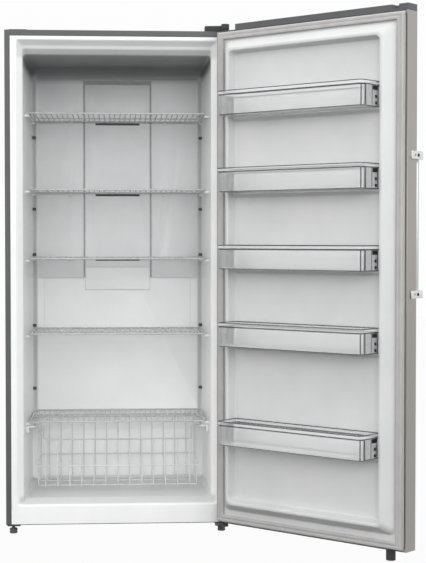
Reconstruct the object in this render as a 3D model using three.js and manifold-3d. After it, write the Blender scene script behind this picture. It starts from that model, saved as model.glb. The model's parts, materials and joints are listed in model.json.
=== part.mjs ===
// An upright household freezer with its door standing open.
// Millimetres, +Z up. Everything is drawn round the cabinet's centre plane (x = 0), its front
// flange (y = 0, the cabinet reaching back along +Y) and the floor (z = 0). The last lines move
// the origin to the sole of the front left foot.
import * as THREE from 'three';
import { mergeVertices } from 'three/addons/utils/BufferGeometryUtils.js';
import Module from 'manifold-3d';

const wasm = await Module();
wasm.setup();

// ---------------------------------------------------------------- driving dimensions
// Shared clearances and sheets
const SEAT = 0.3;                 // gap between two pieces that touch
const SHEET = 1;                  // painted and stainless outer sheet
const LINER_WALL = 2;             // vacuum-formed plastic
const SHAFT_PLAY = 0.3;           // radial play of anything that turns

// Cabinet
const CABINET_WIDTH = 833;
const CABINET_DEPTH = 660;
const CABINET_TOP = 1879;
const SILL_BOTTOM = 39;
const SILL_TOP = 108;
const BASE_PAN_SHEET = 2.2;
const SIDE_RETURN = 20;           // front fold of the steel wrapper, sides
const TOP_RETURN = 22;            // and top
const MOUTH_INSET = 41.5;         // outer side to the edge of the liner's front flange
const THROAT_INSET = 64.5;        // outer side to the liner wall behind the slope
const BACK_INSET = 71.5;          // outer side to the liner wall at the back
const THROAT_DEPTH = 20;
const FLOOR_RISE = 22;            // front edge of the sill to the floor inside
const MOUTH_DROP = 35;            // cabinet top to the flange edge
const LIP_DROP = 55;
const LIP_HEIGHT = 12;
const LIP_STEP = 2;               // depth of the step behind the lip
const CEILING_RUN = 30;           // throat to where ceiling and floor are level
const CEILING_DROP = 87;
const BACK_INSULATION = 115;      // back wall of the liner to the outside
const LINER_CORNER = 14;
const LINER_DRAFT = 1;
const BACK_BEND = 110;            // the ceiling bends down this far before the back wall
const BACK_COVE = 16;             // cove round the back wall: depth
const COVE_INSET = 12;            // and inset
const COVE_DROP = 24;             // ceiling to the start of the cove
const FLOOR_COVE = 6;
const HUMP_DEPTH = 180;           // compressor hump, from the cabinet's back
const HUMP_HEIGHT = 330;
const HUMP_RISE = 70;             // from there its top slopes up to the back wall
const HUMP_FOAM = 40;
const PANEL_SHEET = 1.2;

// Duct cover on the back wall
const DUCT_SIDE_GAP = 23;
const DUCT_THICKNESS = 6;
const DUCT_DROP = 40;             // ceiling to the top of the cover
const DUCT_FOOT_DROP = 135;       // third shelf to the foot of the cover
const DUCT_WING_RISE = 50;         // foot of the centre column to the foot of the wings beside it
const DUCT_COLUMN_INSET = 190;    // side of the cover to the centre column
const DUCT_GROOVE = 7;
const DUCT_GROOVE_DEPTH = 4.5;
const DUCT_TOP_GAP = 2;           // top of the cover to the groove over the centre column
const DUCT_TOP_GROOVE = 16;
const AIR_SLOT_INSET = 42;        // side of the column to the end of a slot
const AIR_SLOT_HEIGHT = 9;
const AIR_SLOT_DROP = 8;          // below a shelf's top
const PANEL_LINE_RISE = 91;       // foot of the cover to the joint line across its column
const PANEL_LINE_WIDTH = 3;
const SHELF_CLIP_INSET = 147;     // end of a shelf to the clip that holds its rear rod
const SHELF_CLIP_WIDTH = 14;
const SHELF_CLIP_HEIGHT = 9;
const SHELF_CLIP_LAP = 8;

// Evaporator behind the duct cover
const POCKET_INSET = 32;          // side of the cover to the side of the pocket
const POCKET_DEPTH = 55;
const POCKET_RISE = 63;           // foot of the cover to the floor of the pocket
const POCKET_DROP = 93;           // ceiling to the top of the pocket
const COIL_PASSES = 7;
const COIL_PITCH = 34;
const COIL_INSET = 65;            // side of the pocket to the coil
const COIL_RISE = 30;             // floor of the pocket to the lowest tube
const COIL_TUBE = 5;              // radius
const COIL_PLATE = 2;
const COIL_PLATE_INSET = 12;
const COIL_PLATE_MARGIN = 14;
const COIL_PLATE_HALF = 18;       // half the depth of an end plate
const EVAPORATOR_FAN_GAP = 32;    // coil to the fan's blades
const EVAPORATOR_FAN = 55;        // blade radius

// Shelves
const TOP_SHELF_DROP = 206;       // ceiling to the top shelf
const LOWEST_SHELF_RISE = 278;    // floor to the lowest shelf's top
const SHELF_SHARES = [1, 0.754, 0.53, 0.285, 0];
const SHELF_FRONT = 130;
const SHELF_REAR_GAP = 10;        // shelf to the duct cover
const SHELF_SIDE_GAP = 7;
const SHELF_WIRES = 32;
const SHELF_WIRE = 2.2;           // radius
const FRAME_ROD = 3.2;            // radius
const MIDDLE_ROD = 2.6;           // radius
const WELD = 0.8;                 // how deep crossing wires sink into each other
const OVERSHOOT = 1;              // a cut runs this far past its piece, a joined body this far in
const PEG_RADIUS = 5;
const PEG_INSET = 22;             // peg to the shelf's end
const PEG_LAP = 5;                // how far a peg reaches under the shelf
const PEG_HOLE = 5;
const PEG_HOLE_DROP = 72;         // a shelf's top to the spare hole under it

// Wire basket under the lowest shelf
const BASKET_RIM_DROP = 16;       // below the top of the lowest shelf
const BASKET_FLOOR_GAP = 23;
const BASKET_SIDE_GAP = 36;
const BASKET_RIM_OUT = 13;        // the rim stands out past the basket's sides
const BASKET_FRONT_GAP = 7;
const BASKET_REAR_GAP = 16;
const BASKET_CUT_INSET = 26;      // side of the basket to the dip in its rim
const BASKET_CUT_DEPTH = 55;
const BASKET_BELT_DROP = 158;     // rim to the ring round its sides
const BASKET_WIRES = 13;
const BASKET_WIRE_INSET = 7;      // end of the dip to the first wire
const BASKET_CROSS_WIRES = 3;
const BASKET_WIRE = 2;            // radius
const BASKET_ROD = 3;             // radius
const RAIL_LEDGE = 6;
const RAIL_APRON = 26;
const RAIL_WALL = 6;
const RAIL_GAP = 6;               // basket's side to the ledge

// Door, described as it stands when closed
const DOOR_OPEN = 136;            // degrees, as it stands in the picture
const DOOR_RISE = 10.5;           // bottom of the cabinet to the bottom of the door's steel
const DOOR_TOP_DROP = 11;         // cabinet top to the top of the door's steel
const DOOR_CAP_HEIGHT = 23;
const DOOR_BACK = 14;             // cabinet flange to the back edge of the door's steel
const DOOR_STEEL_DEPTH = 62;
const DOOR_EDGE_RADIUS = 9;
const DOOR_FOLD_RADIUS = 0.5;
const DOOR_RETURN = 10;
const DOOR_CAP_DEPTH = 18;        // how far the end caps reach into the door
const HINGE_INSET = 16;           // side of the door to the hinge axis
const HINGE_FORWARD = 43.3;       // cabinet flange to the hinge axis
const HINGE_PIN = 5;              // radius
const HINGE_PLATE = 4;
const HINGE_ARM = 12;             // half the width of the arm
const HINGE_REACH = 70;           // hinge axis to the inner end of the plate
const HINGE_PLATE_FRONT = 8;
const HINGE_PLATE_BACK = 56;
const HINGE_NECK = 2;             // where the arm leaves the plate, past the flange
const PIN_END_GAP = 3;            // pin to the bottom of its socket
const HINGE_COVER_WALL = 2;
const HINGE_COVER_HEIGHT = 20;
const SPARE_COVER_INSET = 14;
const SPARE_COVER_LENGTH = 69;
const SPARE_COVER_FRONT = 10;
const SPARE_COVER_DEPTH = 52;
const SPARE_COVER_CORNER = 6;
const SPARE_COVER_HEIGHT = 3;
const LOWER_HINGE_PLATE = 5.5;
const BUSH_WALL = 2.4;
const BUSH_FLANGE = 11;           // radius
const CAP_LID = 2;
const CAP_CROWN_INSET = 0.5;
const CAP_HINGE_GAP = 86;         // side of the door to the raised part of the top cap
const CAP_NOTCH_OFFSET = 37;
const CAP_NOTCH = 28;
const CAP_NOTCH_DEPTH = 15;
const CAP_NOTCH_REACH = 30;       // from the back edge of the door
const GASKET_EDGE = 12.5;         // side of the door to the gasket
const GASKET_WIDTH = 26;
const GASKET_RISE = 6.5;          // bottom of the steel to the gasket
const GASKET_TOP_DROP = 5;        // top of the steel to the gasket
const GASKET_BEAD_INSET = 3;
const GASKET_BEAD_BASE = 3;       // cabinet flange to the foot of the bead
const GASKET_GROOVE_HALF = 3;
const GASKET_GROOVE_DEPTH = 0.5;
const GASKET_CORNER = 6;
const GASKET_CLOSED_GAP = 0.8;
const FLANGE_OVERLAP = 2.2;       // liner flange past the gasket
const DYKE_BASE = 2;              // gasket to the foot of the dyke
const DYKE_SLOPE = 36;
const DYKE_FOOT_RISE = 19;        // foot of the dyke, further from the gasket along the bottom
const DYKE_FOOT_SLOPE = 27;       // and steeper there, to pass over the sill
const DYKE_CREST = 28;            // behind the cabinet flange when the door is closed
const DYKE_CREST_WIDTH = 11;
const DYKE_DRAFT = 8;
const DYKE_FLOOR = 8;             // recess floor, in front of the cabinet flange
const DYKE_CORNER = 26;

// Door bins
const TOP_BIN_DROP = 232;         // top of the door's steel to the rim of the top bin
const LOWEST_BIN_RISE = 398.5;    // bottom of the steel to the rim of the lowest bin
const BIN_SHARES = [1, 0.768, 0.535, 0.3, 0];
const BIN_HEIGHT = 88;
const BIN_SIDE_GAP = 6;
const BIN_BACK_GAP = 4;
const BIN_FRONT = 110;
const BIN_WALL = 2.5;
const BIN_CORNER = 18;
const BIN_RIM = 15;
const BIN_RIM_OUT = 2;
const LEDGE_HEIGHT = 14;
const LEDGE_DEPTH = 18;
const LEDGE_LIP = 4;
const LEDGE_FOOT = 3;
const LUG_HEIGHT = 12;
const LUG_DEPTH = 14;

// Handle
const HANDLE_DROP = 468;          // top of the door's steel to the top of the bar
const HANDLE_LENGTH = 496;
const BRACKET_HEIGHT = 27;
const BRACKET_PLATE = 5;
const BRACKET_WALL = 4;           // metal round the bar
const BRACKET_SWEEP = 10;         // where the outer curve starts, in front of the door's face
const BRACKET_NECK = 14;          // thickness where it leaves the door's face
const BRACKET_LAP = 43;           // how far the plate reaches back along the door's side
const BAR_RADIUS = 9;
const BAR_STANDOFF = 36;          // door face to the bar's axis
const BAR_INSET = 28.5;           // side of the door to the bar's axis
const SCREW_HOLE = 3.5;           // radius

// Feet, rollers and what stands under the door
const FOOT_INSET = 25;            // side of the cabinet to the foot's axis
const FOOT_Y = 35;
const FOOT_RADIUS = 14.5;
const FOOT_HEIGHT = 20;
const FOOT_CHAMFER = 2;
const FOOT_SHOULDER = 3;
const SHANK_END_GAP = 0.5;
const SHANK_RADIUS = 6;
const FOOT_PLATE = 5.5;
const FOOT_PLATE_REACH = 28;      // foot's axis to the inner end of its plate
const FOOT_PLATE_EDGE = 4;        // side of the cabinet to the plate, and its corners
const FOOT_PLATE_BACK = 36;
const FOOT_PLATE_FRONT = 4;
const ROLLER_INSET = 56.5;        // side of the cabinet to the middle of the roller
const ROLLER_FROM_BACK = 50;
const ROLLER_RADIUS = 14;
const ROLLER_WIDTH = 18;
const AXLE_RADIUS = 4;
const CHEEK = 2.5;
const CHEEK_GAP = 1;
const CHEEK_HALF = 18;            // half the length of the bracket
const CHEEK_TIP_HALF = 8;
const CHEEK_TIP_DROP = 7;         // axle to the tip of the cheek
const RIVET_HEAD = 1.5;
const DOOR_FOOT_INSET = 82;
const DOOR_FOOT_RADIUS = 16.5;
const DOOR_FOOT_CLEARANCE = 9;    // floor to the door's foot

// Machine compartment
const COMPRESSOR_INSET = 201.5;   // right side of the cabinet to its middle
const COMPRESSOR_RADIUS = 73;
const COMPRESSOR_SQUASH = 0.78;   // depth over width of the shell
const COMPRESSOR_HEIGHT = 150;
const COMPRESSOR_FOOT_SHARE = 0.62;
const COMPRESSOR_FOOT = 3;
const STUB_OFFSET = 40;
const STUB_RISE = 4;
const GROMMET_HEIGHT = 9;
const GROMMET_RADIUS = 9;
const GROMMET_INSET = 12;
const CONDENSER_INSET = 126.5;    // left side of the cabinet to its middle
const CONDENSER_RISE = 34;        // base pan to the lowest tube
const CONDENSER_PLATE_HALF = 30;
const CONDENSER_HALF = 85;
const CONDENSER_PASSES = 5;
const CONDENSER_PITCH = 28;
const CONDENSER_TUBE = 4;         // radius
const CONDENSER_FAN_OFFSET = 180; // middle of the condenser to the fan's motor
const CONDENSER_FAN_GAP = 22;     // base pan to the blades' tips
const CONDENSER_FAN = 58;         // blade radius
const FAN_MOTOR_RADIUS = 26;
const FAN_MOTOR_LENGTH = 36;
const FAN_MOTOR_GAP = 4;          // motor to the hub
const MOTOR_POST = 4;
const MOTOR_POST_INSET = 10;
const MOTOR_FOOT_HALF = 22;
const MOTOR_FOOT_REACH = 20;
const MOTOR_FOOT_SHEET = 2;
const FAN_SHAFT = 3;              // radius
const FAN_HUB = 15;               // radius
const FAN_HUB_LENGTH = 14;
const FAN_HUB_GAP = 12;           // duct cover to the middle of the hub
const FAN_BLADES = 5;
const FAN_BLADE_SHEET = 2;
const FAN_TWIST = 24;             // degrees
const TUBE_RADIUS = 4;
const TUBE_RISE = 14;
const TUBE_BEND = 8;
const TUBE_REACH = 14;            // side of the condenser to the tube's upright
const DRAIN_PAN_HEIGHT = 34;
const DRAIN_PAN_WALL = 2;
const DRAIN_PAN_GAP = 12;         // compressor to the pan
const DRAIN_PAN_FAN_GAP = 20;
const DRAIN_PAN_FRONT = 14;
const DRAIN_PAN_BACK = 24;
const LOUVRE_COLUMNS = 7;
const LOUVRE_ROWS = 4;
const LOUVRE_MARGIN = 60;
const LOUVRE_START = 52;          // base pan to the lowest row
const LOUVRE_HEIGHT = 7;
const LOUVRE_SHARE = 0.72;        // slot over pitch

// ---------------------------------------------------------------- places worked out from them
const halfWidth = CABINET_WIDTH / 2;
const hingeX = halfWidth - HINGE_INSET;
const basePanTop = SILL_BOTTOM - SEAT;
const basePanBottom = basePanTop - BASE_PAN_SHEET;
const backWall = CABINET_DEPTH - BACK_INSULATION;
const ceiling = CABINET_TOP - CEILING_DROP;
const floor = SILL_TOP + FLOOR_RISE;
const wallAtBack = halfWidth - BACK_INSET;
const ductFace = backWall - SEAT - DUCT_THICKNESS;
const lowestShelf = floor + LOWEST_SHELF_RISE;
const shelfSpan = ceiling - TOP_SHELF_DROP - lowestShelf;
const shelfTops = SHELF_SHARES.map((share) => lowestShelf + share * shelfSpan);
const shelfHalf = wallAtBack - SHELF_SIDE_GAP;
const shelfRear = ductFace - SHELF_REAR_GAP;
const pegDrop = 2 * FRAME_ROD + SEAT;   // shelf top to what it rests on
const ductHalf = wallAtBack - DUCT_SIDE_GAP;
const ductBottom = shelfTops[2] - DUCT_FOOT_DROP;
const ductTop = ceiling - DUCT_DROP;
const columnHalf = ductHalf - DUCT_COLUMN_INSET;
const slotHalf = columnHalf - AIR_SLOT_INSET;
const clipX = shelfHalf - SHELF_CLIP_INSET;
const doorTop = CABINET_TOP - DOOR_TOP_DROP;
const doorBottom = SILL_BOTTOM + DOOR_RISE;
const doorFace = -DOOR_BACK - DOOR_STEEL_DEPTH;
const foldInner = halfWidth - DOOR_RETURN;
const flangeBack = -DOOR_BACK - SEAT;
const flangeFront = flangeBack + LINER_WALL;
const gasketOuter = halfWidth - GASKET_EDGE;
const gasketInner = gasketOuter - GASKET_WIDTH;
const gasketTop = doorTop - GASKET_TOP_DROP;
const gasketBottom = doorBottom + GASKET_RISE;
const dykeBase = gasketInner - DYKE_BASE;
const dykeCrest = dykeBase - DYKE_SLOPE;
const recessHalf = dykeCrest - DYKE_CREST_WIDTH;
const recessFloorHalf = recessHalf - DYKE_DRAFT;
const dykeBottom = gasketBottom + GASKET_WIDTH + DYKE_BASE + DYKE_FOOT_RISE;
const dykeTop = gasketTop - GASKET_WIDTH - DYKE_BASE;
const binHalf = recessFloorHalf - BIN_SIDE_GAP;
const lowestBin = doorBottom + LOWEST_BIN_RISE;
const binSpan = doorTop - TOP_BIN_DROP - lowestBin;
const binRims = BIN_SHARES.map((share) => lowestBin + share * binSpan);
const binBack = -DYKE_FLOOR + BIN_BACK_GAP;
const basketRim = lowestShelf - BASKET_RIM_DROP;
const basketHalf = wallAtBack - BASKET_SIDE_GAP;
const basketCutHalf = basketHalf - BASKET_CUT_INSET;
const basketFront = SHELF_FRONT + BASKET_FRONT_GAP;
const humpFace = CABINET_DEPTH - HUMP_DEPTH;
const basketRear = humpFace - BASKET_REAR_GAP;
const basketRimHalf = basketHalf + BASKET_RIM_OUT;
const machineFront = humpFace + LINER_WALL + HUMP_FOAM;
const machineTop = HUMP_HEIGHT - LINER_WALL - HUMP_FOAM;
const machineMiddle = (machineFront + CABINET_DEPTH) / 2;
const pocketBack = backWall + POCKET_DEPTH;
const pocketHalf = ductHalf - POCKET_INSET;
const pocketBottom = ductBottom + POCKET_RISE;
const coilBottom = pocketBottom + COIL_RISE;
const coilTop = coilBottom + (COIL_PASSES - 1) * COIL_PITCH;
const evaporatorFanZ = coilTop + EVAPORATOR_FAN + EVAPORATOR_FAN_GAP;
const condenserFanZ = basePanTop + CONDENSER_FAN + CONDENSER_FAN_GAP;
const condenserX = -halfWidth + CONDENSER_INSET;
const condenserFanX = condenserX + CONDENSER_FAN_OFFSET;
const compressorX = halfWidth - COMPRESSOR_INSET;
const footX = halfWidth - FOOT_INSET;
const rollerX = halfWidth - ROLLER_INSET;
const handleTop = doorTop - HANDLE_DROP;
const handleBottom = handleTop - HANDLE_LENGTH;

// ---------------------------------------------------------------- materials
const finish = (color, roughness, metalness) =>
  new THREE.MeshStandardMaterial({ color, roughness, metalness });
const graphitePaint = finish(0x66686a, 0.45, 0.2);
const stainless = finish(0xb5b2ae, 0.32, 1);
const satinSteel = finish(0xc6c6c4, 0.28, 1);
const zincSteel = finish(0x8f9497, 0.5, 0.9);
const whiteLiner = finish(0xe9eaea, 0.32, 0);
const whiteWire = finish(0xdfe1e2, 0.35, 0.1);
const paleFoam = finish(0xe8dfc2, 0.9, 0);
const blackPlastic = finish(0x17181a, 0.5, 0);
const greyGasket = finish(0xb9bbbc, 0.7, 0);
const blackRubber = finish(0x1b1b1c, 0.85, 0);
const blackEnamel = finish(0x1a1b1d, 0.35, 0.3);
const aluminium = finish(0xbfc3c6, 0.4, 1);
const copper = finish(0xb87347, 0.35, 1);
const clearPlastic = new THREE.MeshStandardMaterial({
  color: 0xe6eaec, roughness: 0.12, metalness: 0, transparent: true, opacity: 0.45,
});

// ---------------------------------------------------------------- solids
// Each helper gives a closed solid that can be joined and cut. Corners are rounded to a
// thousandth, so that faces meant to be flush are exactly flush.
const thousandth = (value) => Math.round(value * 1000) / 1000;

function solidFrom(geometry) {
  const bare = geometry.clone();
  bare.deleteAttribute('normal');
  bare.deleteAttribute('uv');
  const merged = mergeVertices(bare, 1e-4);
  return new wasm.Manifold(new wasm.Mesh({
    numProp: 3,
    vertProperties: new Float32Array(merged.attributes.position.array).map(thousandth),
    triVerts: new Uint32Array(merged.index.array),
  }));
}

function geometryFrom(solid) {
  const mesh = solid.getMesh();
  const geometry = new THREE.BufferGeometry();
  geometry.setAttribute('position', new THREE.BufferAttribute(mesh.vertProperties, 3));
  geometry.setIndex(new THREE.BufferAttribute(mesh.triVerts, 1));
  geometry.computeVertexNormals();
  return geometry;
}

const join = (...solids) => solids.flat().reduce((sum, next) => sum.add(next));
const cut = (solid, ...tools) => tools.flat().reduce((rest, tool) => rest.subtract(tool), solid);

function block([x0, x1], [y0, y1], [z0, z1]) {
  const box = new THREE.BoxGeometry(x1 - x0, y1 - y0, z1 - z0);
  return solidFrom(box.translate((x0 + x1) / 2, (y0 + y1) / 2, (z0 + z1) / 2));
}

const turns = {
  x: (geometry) => geometry.rotateZ(-Math.PI / 2),
  y: (geometry) => geometry,
  z: (geometry) => geometry.rotateX(Math.PI / 2),
};

// A round bar along x, y or z, from one coordinate to the other, its axis through `at`.
// The radius is that of its flats.
function bar(axis, radius, [from, to], at, sides = 20) {
  const corner = radius / Math.cos(Math.PI / sides);
  const rod = new THREE.CylinderGeometry(corner, corner, to - from, sides);
  rod.rotateY(Math.PI / sides);
  const middle = { ...at, [axis]: (from + to) / 2 };
  return solidFrom(turns[axis](rod).translate(middle.x, middle.y, middle.z));
}

const outlineBasis = {
  x: [[0, 1, 0], [0, 0, 1], [1, 0, 0]],
  y: [[1, 0, 0], [0, 0, 1], [0, -1, 0]],
  z: [[1, 0, 0], [0, 1, 0], [0, 0, 1]],
};

// An outline drawn in the plane across `axis`, in the order x, y, z, and thickened along it.
function extrude(axis, shape, [from, to], curveSegments = 4) {
  const options = { depth: to - from, bevelEnabled: false, curveSegments };
  const slab = new THREE.ExtrudeGeometry(shape, options);
  const basis = outlineBasis[axis].map((v) => new THREE.Vector3(...v));
  slab.applyMatrix4(new THREE.Matrix4().makeBasis(...basis));
  const start = axis === 'y' ? to : from;
  const shift = { x: 0, y: 0, z: 0, [axis]: start };
  return solidFrom(slab.translate(shift.x, shift.y, shift.z));
}

const polygon = (points) => new THREE.Shape(points.map(([u, v]) => new THREE.Vector2(u, v)));

// A rectangle with one radius for the corners at the low v side and one for the high v side.
function roundedRectangle([u0, u1], [v0, v1], lowRadius, highRadius = lowRadius) {
  const quarter = Math.PI / 2;
  const shape = new THREE.Shape();
  shape.moveTo(u0 + lowRadius, v0);
  shape.lineTo(u1 - lowRadius, v0);
  shape.absarc(u1 - lowRadius, v0 + lowRadius, lowRadius, -quarter, 0, false);
  shape.lineTo(u1, v1 - highRadius);
  shape.absarc(u1 - highRadius, v1 - highRadius, highRadius, 0, quarter, false);
  shape.lineTo(u0 + highRadius, v1);
  shape.absarc(u0 + highRadius, v1 - highRadius, highRadius, quarter, 2 * quarter, false);
  shape.lineTo(u0, v0 + lowRadius);
  shape.absarc(u0 + lowRadius, v0 + lowRadius, lowRadius, 2 * quarter, 3 * quarter, false);
  return shape;
}

function lathe(profile, at, sides = 24) {
  const points = profile.map(([r, z]) => new THREE.Vector2(r, z));
  const spun = new THREE.LatheGeometry(points, sides).rotateX(Math.PI / 2);
  return solidFrom(spun.translate(at.x, at.y, 0));
}

// A loft along Y through rounded rectangles that share a point count.
function loft(sections, cornerSteps = 4) {
  const positions = [];
  const faces = [];
  const ringSize = 4 * (cornerSteps + 1);
  const corners = [[1, 1], [-1, 1], [-1, -1], [1, -1]];
  for (const { y, half, bottom, top, radius } of sections) {
    corners.forEach(([sideX, sideZ], corner) => {
      const centreX = sideX * (half - radius);
      const centreZ = sideZ > 0 ? top - radius : bottom + radius;
      for (let step = 0; step <= cornerSteps; step += 1) {
        const angle = (corner + step / cornerSteps) * Math.PI / 2;
        positions.push(centreX + radius * Math.cos(angle), y, centreZ + radius * Math.sin(angle));
      }
    });
  }
  for (let ring = 0; ring + 1 < sections.length; ring += 1) {
    for (let k = 0; k < ringSize; k += 1) {
      const a = ring * ringSize + k;
      const b = ring * ringSize + (k + 1) % ringSize;
      faces.push(a, a + ringSize, b, b, a + ringSize, b + ringSize);
    }
  }
  const last = (sections.length - 1) * ringSize;
  for (let k = 1; k + 1 < ringSize; k += 1) {
    faces.push(0, k, k + 1, last, last + k + 1, last + k);
  }
  const geometry = new THREE.BufferGeometry();
  geometry.setAttribute('position', new THREE.Float32BufferAttribute(positions, 3));
  geometry.setIndex(faces);
  return solidFrom(geometry);
}

// A wire of `sides` flats through the points of a flat path; `normal` is square to the path.
function bentWire(points, radius, normal, sides = 4) {
  const path = points.map((p) => new THREE.Vector3(...p));
  const up = new THREE.Vector3(...normal);
  const corner = radius / Math.cos(Math.PI / sides);
  const positions = [];
  const faces = [];
  path.forEach((point, index) => {
    const before = index > 0 ? point.clone().sub(path[index - 1]).normalize() : null;
    const after = index + 1 < path.length ? path[index + 1].clone().sub(point).normalize() : null;
    const along = (before ?? after).clone().add(after ?? before).normalize();
    const mitre = 1 / along.dot(before ?? after);
    const across = new THREE.Vector3().crossVectors(up, along).multiplyScalar(mitre);
    for (let k = 0; k < sides; k += 1) {
      const angle = (k + 0.5) * 2 * Math.PI / sides;
      const offset = across.clone().multiplyScalar(corner * Math.cos(angle));
      offset.addScaledVector(up, corner * Math.sin(angle));
      positions.push(...point.clone().add(offset).toArray());
    }
  });
  for (let ring = 0; ring + 1 < path.length; ring += 1) {
    for (let k = 0; k < sides; k += 1) {
      const a = ring * sides + k;
      const b = ring * sides + (k + 1) % sides;
      faces.push(a, b, a + sides, b, b + sides, a + sides);
    }
  }
  const last = (path.length - 1) * sides;
  for (let k = 1; k + 1 < sides; k += 1) {
    faces.push(0, k + 1, k, last, last + k, last + k + 1);
  }
  const geometry = new THREE.BufferGeometry();
  geometry.setAttribute('position', new THREE.Float32BufferAttribute(positions, 3));
  geometry.setIndex(faces);
  return solidFrom(geometry);
}

// The centre line of a tube that runs to and fro along X and climbs in half circles.
function serpentine(passes, pitch, half, y, bottom, middleX = 0, bendSteps = 5) {
  const points = [[middleX - half, y, bottom]];
  for (let pass = 0; pass < passes; pass += 1) {
    const side = pass % 2 === 0 ? 1 : -1;
    const z = bottom + pass * pitch;
    if (pass === passes - 1) {
      points.push([middleX + side * half, y, z]);
      break;
    }
    const centreX = middleX + side * (half - pitch / 2);
    for (let step = 0; step <= bendSteps; step += 1) {
      const angle = -Math.PI / 2 + step * Math.PI / bendSteps;
      const x = centreX + side * (pitch / 2) * Math.cos(angle);
      points.push([x, y, z + pitch / 2 + (pitch / 2) * Math.sin(angle)]);
    }
  }
  return points;
}

const part = (name, solid, material) => {
  const mesh = new THREE.Mesh(geometryFrom(solid), material);
  mesh.name = name;
  return mesh;
};

// ---------------------------------------------------------------- the cavity that the liner forms
// `grow` swells the cavity: 0 is the surface that food touches, LINER_WALL its outer side.
function cavity(grow) {
  const mouth = halfWidth - MOUTH_INSET + grow;
  const throat = halfWidth - THROAT_INSET + grow;
  const back = wallAtBack + grow;
  const lip = CABINET_TOP - LIP_DROP;
  const behindLip = THROAT_DEPTH + LIP_STEP;
  const level = THROAT_DEPTH + CEILING_RUN;
  const ramp = (y) => SILL_TOP + FLOOR_RISE * Math.min(1, y / level);
  const coveTop = ceiling - COVE_DROP;
  const section = (y, half, top, bottom, radius) => ({
    y,
    half,
    top: top + grow,
    bottom: bottom - grow,
    radius,
  });
  const small = LINER_CORNER / 2;
  const body = loft([
    section(-LIP_STEP, mouth, CABINET_TOP - MOUTH_DROP, SILL_TOP, small),
    section(0, mouth, CABINET_TOP - MOUTH_DROP, SILL_TOP, small),
    section(THROAT_DEPTH, throat, lip, ramp(THROAT_DEPTH), small),
    section(behindLip, throat, lip - LIP_HEIGHT, ramp(behindLip), small),
    section(level, throat - LINER_DRAFT, ceiling, floor, LINER_CORNER),
    section(backWall - BACK_BEND, back + LINER_DRAFT, ceiling - 2 * LINER_DRAFT, floor, LINER_CORNER),
    section(backWall - BACK_COVE + grow, back, coveTop, floor, LINER_CORNER),
    section(
      backWall + grow,
      back - COVE_INSET,
      coveTop - COVE_INSET,
      floor + FLOOR_COVE,
      LINER_CORNER,
    ),
  ]);
  const hump = extrude('x', polygon([
    [humpFace + grow, -CABINET_TOP],
    [2 * CABINET_DEPTH, -CABINET_TOP],
    [2 * CABINET_DEPTH, HUMP_HEIGHT + HUMP_RISE - grow],
    [backWall + grow, HUMP_HEIGHT + HUMP_RISE - grow],
    [humpFace + grow, HUMP_HEIGHT - grow],
  ]), [-CABINET_WIDTH, CABINET_WIDTH]);
  const pocket = block(
    [-pocketHalf - grow, pocketHalf + grow],
    [backWall - BACK_COVE, pocketBack + grow],
    [pocketBottom - grow, ceiling - POCKET_DROP + grow],
  );
  return join(cut(body, hump), pocket);
}

const sideX = [-1, 1];
const span = (side, inner, outer) => (side > 0 ? [inner, outer] : [-outer, -inner]);

// ---------------------------------------------------------------- cabinet
// Steel wrapper: two sides and the top in one sheet, folded in at the front.
function outerWrapper() {
  const ring = (inset, y) => block(
    [-halfWidth + inset, halfWidth - inset],
    y,
    [inset > 0 ? -OVERSHOOT : SILL_BOTTOM, CABINET_TOP - inset],
  );
  const sleeve = cut(ring(0, [0, CABINET_DEPTH]), ring(SHEET, [SHEET, CABINET_DEPTH + OVERSHOOT]));
  const window = block(
    [-halfWidth + SIDE_RETURN, halfWidth - SIDE_RETURN],
    [-OVERSHOOT, 2 * SHEET],
    [-OVERSHOOT, CABINET_TOP - TOP_RETURN],
  );
  return cut(sleeve, window);
}

// Liner: flange, sloped throat and box in one vacuum-formed piece, with pegs for the shelves.
function innerLiner() {
  const flangeHalf = halfWidth - SIDE_RETURN - SEAT;
  const flange = block(
    [-flangeHalf, flangeHalf],
    [0, LINER_WALL],
    [SILL_BOTTOM, CABINET_TOP - TOP_RETURN - SEAT],
  );
  const inFront = block(
    [-CABINET_WIDTH, CABINET_WIDTH],
    [-2 * LIP_STEP, 0],
    [0, 2 * CABINET_TOP],
  );
  const shell = cut(join(flange, cavity(LINER_WALL)), cavity(0), inFront);
  const pegs = [];
  const holes = [];
  shelfTops.forEach((top, index) => {
    const pegZ = top - pegDrop - PEG_RADIUS;
    for (const side of sideX) {
      for (const y of [SHELF_FRONT + PEG_INSET, shelfRear - PEG_INSET]) {
        const reach = span(side, shelfHalf - PEG_LAP, halfWidth);
        pegs.push(bar('x', PEG_RADIUS, reach, { y, z: pegZ }, 6));
      }
    }
    if (index + 1 < shelfTops.length) {
      const at = { y: shelfRear - PEG_INSET, z: top - PEG_HOLE_DROP };
      holes.push(bar('x', PEG_HOLE, [-CABINET_WIDTH, CABINET_WIDTH], at, 6));
    }
  });
  const rooted = join(pegs).intersect(cavity(LINER_WALL - SEAT));
  return cut(join(shell, rooted), holes);
}

function cabinetFoam() {
  const side = halfWidth - SHEET - SEAT;
  const fill = block(
    [-side, side],
    [LINER_WALL + SEAT, CABINET_DEPTH - PANEL_SHEET - 2 * SEAT],
    [SILL_BOTTOM + SEAT, CABINET_TOP - SHEET - SEAT],
  );
  const machine = block(
    [-CABINET_WIDTH, CABINET_WIDTH],
    [machineFront, 2 * CABINET_DEPTH],
    [0, machineTop],
  );
  return cut(fill, cavity(LINER_WALL + SEAT), machine);
}

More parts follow.
